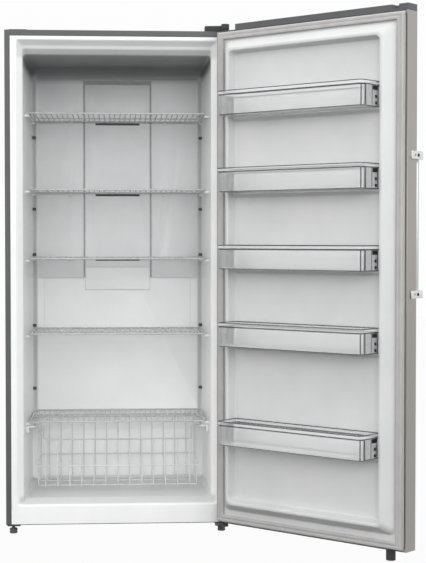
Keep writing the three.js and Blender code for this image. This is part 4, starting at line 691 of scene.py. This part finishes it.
# The cabinet's liner and the duct cover carry this painted shade.
liner_sheet = mottled("vacuum_formed_polystyrene_cabinet_painted_shade", FORMED_WHITES, **FORMED)
paint_shade_by_place(liner_sheet)
duct_plate = mottled("injection_moulded_polystyrene_duct_painted_shade", MOULDED_WHITES, **MOULDED)
paint_shade_by_place(duct_plate)

# %% [markdown]
# The pegs that carry the shelves are pressed out of the side walls, in the same mesh: short round
# studs with a domed end. A stud starts 1 mm inside the wall, so no gap can open between the two.

# %% Add the shelf pegs
PEG_RADIUS, PEG_INSET, PEG_DROP, PEG_END = 5, 22, 11.7, 333
shelf_spans = [span(f"shelf_{number}", cabinet_space) for number in range(1, 6)]


def side_wall(depth):
    """Distance from the middle to the liner's side wall, which draws in towards the back."""
    return 351 - (depth - 50) * 5 / 385


def add_stud(vertices, faces, base, direction, radius, length, steps=14):
    """A round stud with a domed end, standing on a wall along X."""
    levels = [(0, radius), (length - radius * 0.4, radius), (length - radius * 0.1, radius * 0.8),
              (length, radius * 0.35)]
    faces += ring_faces(len(levels), steps, len(vertices), ends=(-1,))
    for reach, size in levels:
        vertices += [(base[0] + direction * reach, base[1] + size * cosine, base[2] + size * sine)
                     for cosine, sine in circle(steps)]


for low, high in shelf_spans:
    for side in (-1, 1):
        for depth in (low.y + PEG_INSET, high.y - PEG_INSET):
            root = side_wall(depth) + 1
            add_stud(liner_vertices, liner_faces, (side * root, depth, high.z - PEG_DROP), -side,
                     PEG_RADIUS, root - PEG_END)
liner = make_piece("cabinet_liner_formed", liner_vertices, liner_faces, cabinet_space,
                   liner_sheet, 40)
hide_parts("inner_liner")
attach(liner, "cabinet")

# %% [markdown]
# Between the used pegs the wall has spare places for them, so the shelves can be moved. What shows of
# each is a rounded lip 14 mm wide, which stands out by not quite a millimetre. That alone breaks up
# the plain wall and gives it scale, so the hollow inside the lip isn't cut.

# %% Spare peg holes
SPARE_HEIGHTS = (1511, 1226, 1023, 673, 501, 360)
SPARE_DEPTHS = (152, 506)
LIP = ((0.25, 7.2), (0.9, 6.0), (0.5, 4.6), (-0.4, 4.0))  # how far it stands out, and its radius
LIP_STEPS = 16
vertices, faces = [], []
for side in (-1, 1):
    for height in SPARE_HEIGHTS:
        for depth in SPARE_DEPTHS:
            faces += ring_faces(len(LIP), LIP_STEPS, len(vertices))
            for lift, radius in LIP:
                vertices += [(side * (side_wall(depth) - lift), depth + radius * cosine,
                              height + radius * sine) for cosine, sine in circle(LIP_STEPS)]
holes = make_piece("spare_peg_holes", vertices, faces, cabinet_space, moulded_polystyrene, 50)
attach(holes, "cabinet")

# %% [markdown]
# The rear corners carry stops for the shelves, near three of the spare heights and just over the third
# and fourth shelf. They are short studs, about 12 mm thick, and stand 15 mm out of the wall, drawn in
# dark grey plastic: painted shade, as they sit in the shade of the rear corners.

# %% Stops in the rear corners, darkened with painted shade
STOP_WALL, STOP_DEPTH, STOP_RADIUS, STOP_LENGTH = 345.5, 514, 6.2, 15
stop_heights = [1516, 1226, shelf_spans[2][1].z + 9, shelf_spans[3][1].z + 9, 496]
vertices, faces = [], []
for side in (-1, 1):
    for height in stop_heights:
        add_stud(vertices, faces, (side * STOP_WALL, STOP_DEPTH, height), -side, STOP_RADIUS,
                 STOP_LENGTH)
stops = make_piece("rear_shelf_stops_painted_shade", vertices, faces, cabinet_space, grey_polypropylene, 50)
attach(stops, "cabinet")

# %% [markdown]
# ## The duct cover and the basket's rails
# The back wall's cover hides the evaporator. Its centre column is outlined by grooves, and slots under
# the shelves let the cold air out. These are moulded parts with a radius of about a millimetre.

# %% Dress the duct cover and the rails
dress(
    "cabinet",
    (duct_plate, 0.9, "duct_cover"),
    (moulded_polystyrene, 1.5, "basket_rail_left", "basket_rail_right"),
)

# %% [markdown]
# The centre column is a panel of its own that snaps in. Its joint and the slots under the shelves read
# as dark lines, from the shade in the joint and in the chamber behind the slots, so thin slabs set in
# the grooves and slots paint that shade: grey foam slabs in the grooves, drawn as the strip that seals
# the joint, and dark plastic in the slots. The foot of the column is lighter: a whiter slab paints
# light on it where the shelf above shades it. The liner is pressed outwards in a low outline below the
# cover.

# %% Slabs, and the painted shade in the joints
def on_side(side, inner, outer):
    """A range along X on one side of the middle, in rising order."""
    return sorted((side * inner, side * outer))


def add_slab(vertices, faces, x, y, z):
    """A box from three ranges."""
    start = len(vertices)
    vertices += [(a, b, c) for a in x for b in y for c in z]
    faces += [tuple(start + k for k in face) for face in (
        (0, 1, 3, 2), (4, 6, 7, 5), (0, 4, 5, 1), (2, 3, 7, 6), (0, 2, 6, 4), (1, 5, 7, 3))]


def cabinet_slabs(name, material, slabs):
    """One piece of the cabinet, made of boxes."""
    vertices, faces = [], []
    for x, y, z in slabs:
        add_slab(vertices, faces, x, y, z)
    piece = make_piece(name, vertices, faces, cabinet_space, material, 30)
    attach(piece, "cabinet")


COLUMN_HALF = 132
duct_low, duct_high = span("duct_cover", cabinet_space)
duct_face = shelf_spans[0][1].y + 10
column_top, wing_bottom = duct_high.z - 2, duct_low.z + 50
in_groove = (duct_face + 1.6, duct_face + 4.3)
upright = (wing_bottom, column_top - 0.4)
# grey foam slabs in the grooves: painted shade for the dark joint
cabinet_slabs("duct_joint_painted_shade", seam_foam_painted_shade, [
    *((on_side(side, COLUMN_HALF + 0.4, COLUMN_HALF + 6.6), in_groove, upright)
      for side in (-1, 1)),
    ((-COLUMN_HALF, COLUMN_HALF), in_groove, (column_top - 15.6, column_top - 0.4)),
])

# %% The slots' painted shade, the column foot's painted light and the pressed outline
SLOT_HALF = 89.7
PRESSED = (544.3, 545.4)  # just in front of the back wall
# dark slabs in the slots: painted shade of the chamber behind them
cabinet_slabs("duct_slot_painted_shade", grey_polypropylene, [
    ((-SLOT_HALF, SLOT_HALF), (duct_face + 3, duct_face + 5.5), (high.z - 16.7, high.z - 8.3))
    for low, high in shelf_spans[:3]
])
# a whiter slab on the column's foot: painted light
cabinet_slabs("duct_column_foot_painted_light", formed_polystyrene, [
    ((-COLUMN_HALF + 1.2, COLUMN_HALF - 1.2), (duct_face - 0.35, duct_face + 0.4),
     (duct_low.z + 1, duct_low.z + 90)),
])
cabinet_slabs("liner_back_outline", moulded_polystyrene, [
    slab for side in (-1, 1) for slab in (
        (on_side(side, 297, 300), PRESSED, (730, wing_bottom - 4)),
        (on_side(side, 142, 300), PRESSED, (wing_bottom - 4, wing_bottom - 1)),
    )
])

# %% [markdown]
# ## Round wire
# The solids have square bars for speed. Real wire is round, and where it is bent it turns through a
# small radius. A tube is made by carrying a circle along the path, and the path's corners are first
# replaced by curves.

# %% Tubes along a path
def bent_path(points, radius, steps=5):
    """The same path with its inner corners replaced by curves."""
    path = [Vector(points[0])]
    for before, corner, after in zip(points, points[1:], points[2:]):
        before, corner, after = Vector(before), Vector(corner), Vector(after)
        entry = corner + (before - corner).normalized() * radius
        leave = corner + (after - corner).normalized() * radius
        for step in range(steps + 1):
            t = step / steps
            path.append((1 - t) ** 2 * entry + 2 * t * (1 - t) * corner + t * t * leave)
    return path + [Vector(points[-1])]


def add_tube(vertices, faces, path, radius, sides):
    """Adds a round tube with closed ends along a path."""
    path = [Vector(point) for point in path]
    tangents = [(path[min(k + 1, len(path) - 1)] - path[max(k - 1, 0)]).normalized()
                for k in range(len(path))]
    helper = Vector((0, 0, 1)) if abs(tangents[0].z) < 0.9 else Vector((1, 0, 0))
    across = tangents[0].cross(helper).normalized()
    faces += ring_faces(len(path), sides, len(vertices), ends=(0, -1))
    for point, tangent in zip(path, tangents):
        across = (across - tangent * across.dot(tangent)).normalized()
        up = tangent.cross(across)
        vertices += [tuple(point + radius * (cosine * across + sine * up))
                     for cosine, sine in circle(sides)]


# %% [markdown]
# ## The wire shelves
# A shelf is a frame of thick wire with thin wires welded on from front to back, about 20 mm apart, and
# one thick wire under their middle. The thin wires turn down over the front rod, which is what gives a
# wire shelf its bright beaded front edge.

# %% Weld the five shelves
SHELF_WIRES = 32
SHELF_ROD, SHELF_BAR, SHELF_WIRE = 3.2, 2.6, 2.1  # radii of frame, middle bar and thin wires


def wire_shelf(number):
    low, high = shelf_spans[number - 1]
    left, right = low.x + SHELF_ROD, high.x - SHELF_ROD
    front, rear = low.y + SHELF_ROD, high.y - SHELF_ROD
    vertices, faces = [], []
    outline = [(0, front), (right, front), (right, rear), (left, rear), (left, front), (0, front)]
    loop = bent_path([(x, y, high.z - SHELF_ROD) for x, y in outline], 12)
    add_tube(vertices, faces, loop, SHELF_ROD, 12)
    middle, bar_height = (low.y + high.y) / 2, low.z + SHELF_BAR
    bar = [(low.x + 7, middle, bar_height), (high.x - 7, middle, bar_height)]
    add_tube(vertices, faces, bar, SHELF_BAR, 12)
    wire_height, tip_height = high.z - SHELF_WIRE - 0.1, high.z - 5.6
    for index in range(1, SHELF_WIRES + 1):
        x = left + index * (high.x - low.x - 2 * SHELF_ROD) / (SHELF_WIRES + 1)
        path = [(x, low.y + 1.6, tip_height), (x, low.y + 2.2, wire_height),
                (x, high.y - 2.2, wire_height), (x, high.y - 1.6, tip_height)]
        add_tube(vertices, faces, bent_path(path, 1.6, 3), SHELF_WIRE, 8)
    shelf = make_piece(f"shelf_{number}_wires", vertices, faces, cabinet_space, coated_wire_painted_shade, 50)
    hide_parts(f"shelf_{number}")
    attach(shelf, f"shelf_{number}")


for number in range(1, 6):
    wire_shelf(number)

# %% [markdown]
# ## The basket
# The basket hangs by its rim on two rails. Upright wires run down the front, under the floor and up
# the back in one piece, cross wires carry them, and a ring goes round the sides. The rim dips at the
# front so that the food can be seen and lifted out.

# %% The rim of the basket and the ring round its sides
BASKET_ROD, BASKET_WIRE = 3.0, 2.0  # radii of the rim and of the thin wires
WIRE_TOUCH = 3.2  # from the middle of one thin wire to the middle of the one welded across it
basket_low, basket_high = span("basket", cabinet_space)
rim_height, rim_half = basket_high.z - BASKET_ROD, basket_high.x - BASKET_ROD
half = rim_half - 13
dip_half, dip_height = 283, rim_height - 55
belt_height = rim_height - 158
front, rear = basket_low.y + 5.2, basket_high.y - 5.2
rim = [(0, rear, rim_height), (rim_half, rear, rim_height), (rim_half, front, rim_height),
       (dip_half, front, rim_height), (dip_half, front, dip_height)]
rim += [(-x, y, z) for x, y, z in reversed(rim)]
vertices, faces = [], []
add_tube(vertices, faces, bent_path(rim, 9), BASKET_ROD, 12)
rim_faces = len(faces)
belt_half, belt_front, belt_rear = half + WIRE_TOUCH, front - WIRE_TOUCH, rear + WIRE_TOUCH
belt = [(0, belt_rear), (belt_half, belt_rear), (belt_half, belt_front), (-belt_half, belt_front),
        (-belt_half, belt_rear), (0, belt_rear)]
add_tube(vertices, faces, bent_path([(x, y, belt_height) for x, y in belt], 8), BASKET_WIRE, 10)
print("rim and ring:", len(faces), "faces")

# %% Weld the basket's wires
UPRIGHT_WIRES, UPRIGHT_GAP, CROSS_WIRES = 13, 46, 3
floor_height = basket_low.z + WIRE_TOUCH + BASKET_WIRE
for index in range(UPRIGHT_WIRES):
    x = (index - UPRIGHT_WIRES // 2) * UPRIGHT_GAP
    path = [(x, front, dip_height), (x, front, floor_height), (x, rear, floor_height),
            (x, rear, rim_height)]
    add_tube(vertices, faces, bent_path(path, 8), BASKET_WIRE, 8)
for index in range(CROSS_WIRES):
    y = front + (index + 0.5) * (rear - front) / CROSS_WIRES
    low = floor_height - WIRE_TOUCH
    path = [(-rim_half, y, rim_height), (-half, y, rim_height), (-half, y, low), (half, y, low),
            (half, y, rim_height), (rim_half, y, rim_height)]
    add_tube(vertices, faces, bent_path(path, 6), BASKET_WIRE, 8)
basket = make_piece("basket_wires", vertices, faces, cabinet_space, basket_wire, 50)
basket.data.materials.append(coated_wire_painted_shade)
for face in basket.data.polygons:
    face.material_index = int(face.index < rim_faces)
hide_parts("basket")
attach(basket, "basket")

# %% [markdown]
# ## The door's outer sheet and end caps
# One stainless sheet wraps the face and both sides of the door. Moulded caps close its top and bottom,
# grey above and black below, and the upper one has a notch for the fingers at its free end.

# %% Dress the door's shell
dress(
    "door",
    (brushed_stainless, 0.4, "door_skin"),
    (grey_polypropylene, 1.2, "door_top_cap"),
    (black_polypropylene, 0.8, "door_bottom_cap"),
    (black_polypropylene, 1.5, "door_foot"),
    (black_polypropylene, 0.4, "door_bush_upper", "door_bush_lower"),
)
paint_solid("door_foam", insulating_foam)

# %% [markdown]
# ## The door's liner
# A raised dyke runs round the inside of the door and fits into the cabinet's throat, so cold air
# can't fall out past the gasket. It has a sloped outside, a rounded crest, and a recess inside that
# holds the bins. The sections go from the flange's edge over the dyke to the recess floor.

# %% Form the door's liner
flange_low, flange_high = span("door_liner", door_space)
dyke_sections = [
    [-12.3, flange_high.x, flange_low.z, flange_high.z, 3],
    [-12.3, 376, 103, 1835, 24],
    [28, 340, 130, 1799, 24],
    [28, 329, 141, 1788, 20],
    [-8, 321, 149, 1780, 13],
    [-8, 300, 170, 1760, 9],
]
vertices, faces = formed_sheet(eased(dyke_sections, reach=6, steps=4))
print("door liner points:", len(vertices))

# %% [markdown]
# Under each bin the liner has a ledge that the bin stands on. A ledge is a soft-edged bar that grows
# out of the recess floor. Its profile is drawn once and carried across the width of the recess.

# %% Add a ledge under each bin
LEDGE_HALF = 321.5
bin_spans = [span(f"door_bin_{number}", door_space) for number in range(1, 6)]
for low, high in bin_spans:
    seat = low.z - 0.3
    profile = eased([[-8.5, seat - 19], [-6, seat - 14], [10, seat - 5], [10, seat], [-8.5, seat]],
                    2.5, 3)
    start = len(vertices)
    for y, z in profile:
        vertices += [(-LEDGE_HALF, y, z), (LEDGE_HALF, y, z)]
    for k in range(start, len(vertices) - 2, 2):
        faces.append((k, k + 1, k + 3, k + 2))
door_liner = make_piece("door_liner_formed", vertices, faces, door_space, door_polystyrene_painted_shade, 40)
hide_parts("door_liner")
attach(door_liner, "door")

# %% [markdown]
# ## The gasket
# The gasket is a soft bellows with a magnet strip in its face. Its section is drawn as distance from
# the outer edge and depth, and swept round the door as rings with nearly square corners, because the
# real one is cut at 45 degrees and welded there.

# %% Sweep the gasket round the door
gasket_low, gasket_high = span("door_gasket", door_space)
bellows = [(1.5, -12), (0.3, -10.6), (1.6, -9), (0.4, -7.4), (1.8, -5.8), (0.6, -4), (1.6, -2),
           (4, -1.0), (10, -0.9), (12.2, -2.4), (14.2, -2.4), (16, -0.9), (22, -1.0), (24.6, -2),
           (25.4, -4), (24.2, -5.8), (25.6, -7.4), (24.4, -9), (25.7, -10.6), (24.5, -12)]
vertices = []
for inset, depth in bellows:
    points = ring(gasket_low.x + inset, gasket_high.x - inset, gasket_low.z + inset,
                  gasket_high.z - inset, 4, steps=2)
    vertices += [(x, depth, z) for x, z in points]
faces = ring_faces(len(bellows), len(vertices) // len(bellows), closed=True)
gasket = make_piece("gasket_bellows", vertices, faces, door_space, gasket_vinyl, 50)
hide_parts("door_gasket")
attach(gasket, "door")

# %% [markdown]
# ## The door bins
# A bin is a deep clear tray. Its rim is a band that stands out by two millimetres and stiffens it, its
# front corners are wide curves and its back corners tight ones, and all its walls lean by a degree or
# two for the mould. The rings go up the outside, over the rim and down the inside. Each has a height
# and how far it stands out from the solid's box, which is negative inside it.

# %% The shell of a bin
FILM, EDGE, END, INSIDE, HOOK, CLEAR = range(6)
bin_finishes = (crystal_polystyrene, crystal_edge_painted_shade, crystal_end, crystal_inside_painted_shade, crystal_hook_painted_shade,
                crystal_clear)
BACK_CORNER, FRONT_CORNER, CORNER_STEPS = 6, 20, 7


def shell_finish(level, place_round):
    """Painted shade as dark edges at the bottom, the rim and some corners, clear inner walls, film
    elsewhere.
    """
    if 11 <= level <= 15:
        return CLEAR
    dark_corner = level == 2 and place_round in (2, 3, 4, 11)
    return EDGE if dark_corner or level in (0, 1, 3, 4, 5, 7, 8, 9, 10) else FILM


def bin_shell(low, high):
    """Points and faces of a bin's walls, and the finish of each face."""
    bottom, rim = low.z, high.z
    levels = [
        (bottom, -6.5), (bottom + 0.8, -4.2), (bottom + 3.4, -3.0), (rim - 18, -2.2),
        (rim - 16.2, -2.0), (rim - 14.6, -0.4), (rim - 12.8, 0.0), (rim - 3.6, 0.0),
        (rim - 1.2, 0.0), (rim, -1.0), (rim, -2.6), (rim - 1.2, -3.6), (rim - 13, -3.8),
        (rim - 15, -4.6), (bottom + 5, -5.6), (bottom + 3.2, -6.6), (bottom + 2.6, -9.0),
    ]
    vertices = []
    for height, out in levels:
        points = ring(low.x - out, high.x + out, low.y - out, high.y + out, BACK_CORNER,
                      FRONT_CORNER, CORNER_STEPS)
        vertices += [(x, y, height) for x, y in points]
    size = len(vertices) // len(levels)
    faces = ring_faces(len(levels), size, ends=(0, -1))
    return vertices, faces, [shell_finish(*divmod(index, size)) for index in range(len(faces))]


# %% [markdown]
# Most of what the eye finds in a clear bin is in its two ends. A pale end wall stands in front of a
# grey one, two dark posts close it at the front corner and in the middle, and three sockets and a back
# edge are nearly black; the grey, the dark posts and the black are painted shade. They are thin boxes
# inside the shell, placed by their distance from the end.

# %% Mould the five bins
# The posts, the grey plate, the sockets and the back edge are painted shade.
def end_details(bottom, rim):
    """Finish and boxes; a box is its distances from the bin's end, its depths and its heights."""
    wall_heights, in_rim = (bottom + 5, rim - 17), rim - 17
    return (
        (END, [((1.5, 0.5), (14, 90), wall_heights)]),
        (INSIDE, [((2.9, 1.9), (14, 90), wall_heights)]),
        (EDGE, [((6, 0.2), (86, 90), (bottom + 4, in_rim)),
                ((6, 0.2), (49.5, 52.5), (bottom + 6, in_rim))]),
        (HOOK, [((3.4, 0.2), (18, 47), (rim - 32, rim - 17.5)),
                ((3.4, 0.2), (21, 33), (rim - 58.5, rim - 48.5)),
                ((3.4, 0.2), (21, 33), (rim - 80.5, rim - 70.5)),
                ((3.4, 0.2), (13, 17), (bottom + 4, in_rim))]),
    )


def clear_bin(number):
    low, high = bin_spans[number - 1]
    vertices, faces, finishes = bin_shell(low, high)
    for finish, boxes in end_details(low.z, high.z):
        for side in (-1, 1):
            for (inner, outer), depths, heights in boxes:
                across = on_side(side, high.x - inner, high.x - outer)
                add_slab(vertices, faces, across, depths, heights)
        finishes += [finish] * (len(faces) - len(finishes))
    piece = make_piece(f"bin_{number}_clear", vertices, faces, door_space, bin_finishes[FILM], 50)
    for material in bin_finishes[1:]:
        piece.data.materials.append(material)
    for face, finish in zip(piece.data.polygons, finishes):
        face.material_index = finish
    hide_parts(f"door_bin_{number}")
    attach(piece, f"door_bin_{number}")


for number in range(1, 6):
    clear_bin(number)

# %% [markdown]
# ## The handle
# Two cast brackets are screwed to the door's edge and hold a long bar. The brackets keep their solid
# form with rounder edges, and a dark plug covers each screw. The bar gets a true circle and chamfered
# ends, made as a stack of rings.

# %% Dress the brackets and plug their screws
for name in ("upper", "lower"):
    rounded_copy(f"handle_bracket_{name}", "door", plated_zinc, 1.4, segments=3)
for name in ("upper", "lower"):
    low, high = span(f"handle_bracket_{name}", door_space)
    plug = (low.x + 0.5, (low.y + high.y) / 2 + 6, (low.z + high.z) / 2)
    vertices, faces = [], []
    add_stud(vertices, faces, plug, -1, 6.5, 2.2, steps=20)
    screw = make_piece(f"handle_screw_{name}", vertices, faces, door_space, grommet_rubber, 40)
    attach(screw, "door")

# %% Turn the bar
TURNED_SIDES = 32


def turned(name, body, node, profile, space, material):
    """A round piece about the upright middle line of a solid, from a list of radius and height."""
    low, high = span(node, space)
    x, y = (low.x + high.x) / 2, (low.y + high.y) / 2
    vertices = []
    for radius, height in profile:
        vertices += [(x + radius * cosine, y + radius * sine, height)
                     for cosine, sine in circle(TURNED_SIDES)]
    faces = ring_faces(len(profile), TURNED_SIDES, ends=(0, -1))
    piece = make_piece(name, vertices, faces, space, material, 40)
    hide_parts(node)
    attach(piece, body)


bar_low, bar_high = span("handle_bar", door_space)
turned("handle_bar_tube", "door", "handle_bar", [
    (7.4, bar_low.z), (8.6, bar_low.z + 0.5), (9, bar_low.z + 1.6), (9, bar_high.z - 1.6),
    (8.6, bar_high.z - 0.5), (7.4, bar_high.z),
], door_space, anodised_aluminium)

# %% [markdown]
# ## Feet, rollers and hinges
# The levelling feet are turned by hand, so a groove round them gives the fingers a grip, and a screw
# thread stands on top. The hinge brackets are thick pressed steel. The upper one has a black cover.

# %% Dress the feet, rollers and hinges
FOOT_PROFILE = [
    (12.4, 0), (13.6, 0.6), (14.4, 2), (14.5, 8), (13.4, 9), (13.4, 10), (14.5, 11), (14.5, 16.5),
    (13.6, 18.4), (11.5, 19.6), (6.2, 20), (6.0, 20.4), (5.7, 22), (6.0, 23.6), (5.7, 25.2),
    (6.0, 26.8), (5.7, 28.4), (6.0, 30), (5.7, 31.6), (6.0, 33.2), (5.7, 35), (6.0, 36.6),
    (5.2, 38),
]
for side in ("left", "right"):
    turned(f"foot_{side}_fluted", f"front_foot_{side}", f"front_foot_{side}", FOOT_PROFILE,
           cabinet_space, grey_polypropylene)
    rounded_copy(f"rear_roller_{side}", f"rear_roller_{side}", black_polypropylene, 1.2)
    rounded_copy(f"rear_roller_bracket_{side}", "cabinet", galvanised_sheet, 0.4)
dress(
    "cabinet",
    (black_enamel, 0.8, "foot_plate_left", "lower_hinge_bracket"),
    (galvanised_sheet, 0.6, "upper_hinge_bracket"),
)
rounded_copy("upper_hinge_cover", "cabinet", black_polypropylene, 1.6, segments=3)

# %% [markdown]
# ## The cooling system
# These parts sit behind the duct cover and the louvred cover. They are dressed plainly but properly,
# because the covers come off for service.

# %% Dress the cooling system
dress(
    "cabinet",
    (black_enamel, 1.0, "compressor"),
    (black_enamel, 0.3, "condenser_coil"),
    (drawn_aluminium, 0.3, "evaporator_coil"),
    (drawn_copper, 0.3, "discharge_tube"),
    (black_polypropylene, 0.8, "drain_pan"),
    (black_polypropylene, 1.0, "evaporator_fan_motor", "condenser_fan_motor"),
)
for blade in ("evaporator_fan_blade", "condenser_fan_blade"):
    rounded_copy(blade, blade, black_polypropylene, 0.4)
dress("cabinet", (grommet_rubber, 0.8, *(f"compressor_grommet_{n}" for n in range(1, 5))))

# %% [markdown]
# ## Floor and light
# The freezer stands in a white studio, lit as in a photographer's light tent: by an even surround and
# three large soft panels, one nearly in front and one on each side. The floor has to do two things. To
# the camera and in reflections it glows as pale as the surround. To light that bounces off it, it is
# a dark paper, which keeps the undersides of the shelves and the ceiling as dark as the picture has
# them. The kind of ray tells the two apart. That is done to the stage only, never to the freezer.

# %% Lay the floor
PAPER_WHITE = 0.985
bpy.ops.mesh.primitive_plane_add(size=30, location=(0.5, 0, 0))
floor = bpy.context.object
floor.name = "studio_floor"
studio_paper = mottled(
    "matt_white_studio_paper", ("3e3e3e", "444444"), (0.85, 0.95), spot_mm=400,
    IOR=1.4, Specular_IOR_Level=0.2,
)
tree, shader = opened(studio_paper)[:2]
backlit = add_node(tree, "ShaderNodeEmission", {"Color": linear("ffffff"), "Strength": PAPER_WHITE})
ray = add_node(tree, "ShaderNodeLightPath").outputs
share = add_node(tree, "ShaderNodeMath", {
    0: ray["Is Camera Ray"], 1: PAPER_WHITE, 2: ray["Is Glossy Ray"],
}, operation="MULTIPLY_ADD").outputs["Value"]
paper = add_node(tree, "ShaderNodeMixShader", {
    0: share, 1: shader.outputs["BSDF"], 2: backlit.outputs["Emission"],
})
tree.links.new(paper.outputs["Shader"], tree.nodes["Material Output"].inputs["Surface"])
floor.data.materials.append(studio_paper)

# %% The even surround
TENT_LIGHT, TENT_REFLECTION = 1.42, 1.15
world = bpy.data.worlds.new("studio")
bpy.context.scene.world = world
world.use_nodes = True
tree = world.node_tree
ray = add_node(tree, "ShaderNodeLightPath").outputs
tent = add_node(tree, "ShaderNodeMapRange", {
    "Value": ray["Is Glossy Ray"], "To Min": TENT_LIGHT, "To Max": TENT_REFLECTION,
})
glow = add_node(tree, "ShaderNodeMapRange", {
    "Value": ray["Is Camera Ray"], "To Min": tent.outputs["Result"], "To Max": PAPER_WHITE,
})
tree.nodes["Background"].inputs["Color"].default_value = linear("ffffff")
tree.links.new(glow.outputs["Result"], tree.nodes["Background"].inputs["Strength"])
print("surround:", world.name)

# %% Hang three soft panels
PANEL_DISTANCE = 6.0
middle = cabinet_space @ Vector((0, 0, 950))


def soft_panel(name, azimuth, height, size, power):
    """A panel that faces the freezer; azimuth 0 is straight in front, positive to the right."""
    light = bpy.data.lights.new(name, "AREA")
    light.shape = "RECTANGLE"
    light.size, light.size_y = size
    light.energy = power
    angle = math.radians(azimuth)
    place = Vector((middle.x + PANEL_DISTANCE * math.sin(angle),
                    middle.y - PANEL_DISTANCE * math.cos(angle), height))
    panel = bpy.data.objects.new(name, light)
    panel.location = place
    panel.rotation_euler = (middle - place).to_track_quat("-Z", "Y").to_euler()
    bpy.context.scene.collection.objects.link(panel)
    print(name, "of", power, "watts at", [round(v, 2) for v in place])


soft_panel("front_key", 6, 2.6, (2.4, 2.0), 68)
soft_panel("left_panel", -38, 2.4, (3.4, 2.8), 32)
soft_panel("right_panel", 40, 2.4, (3.4, 2.8), 32)
bpy.context.scene.view_settings.view_transform = "Standard"
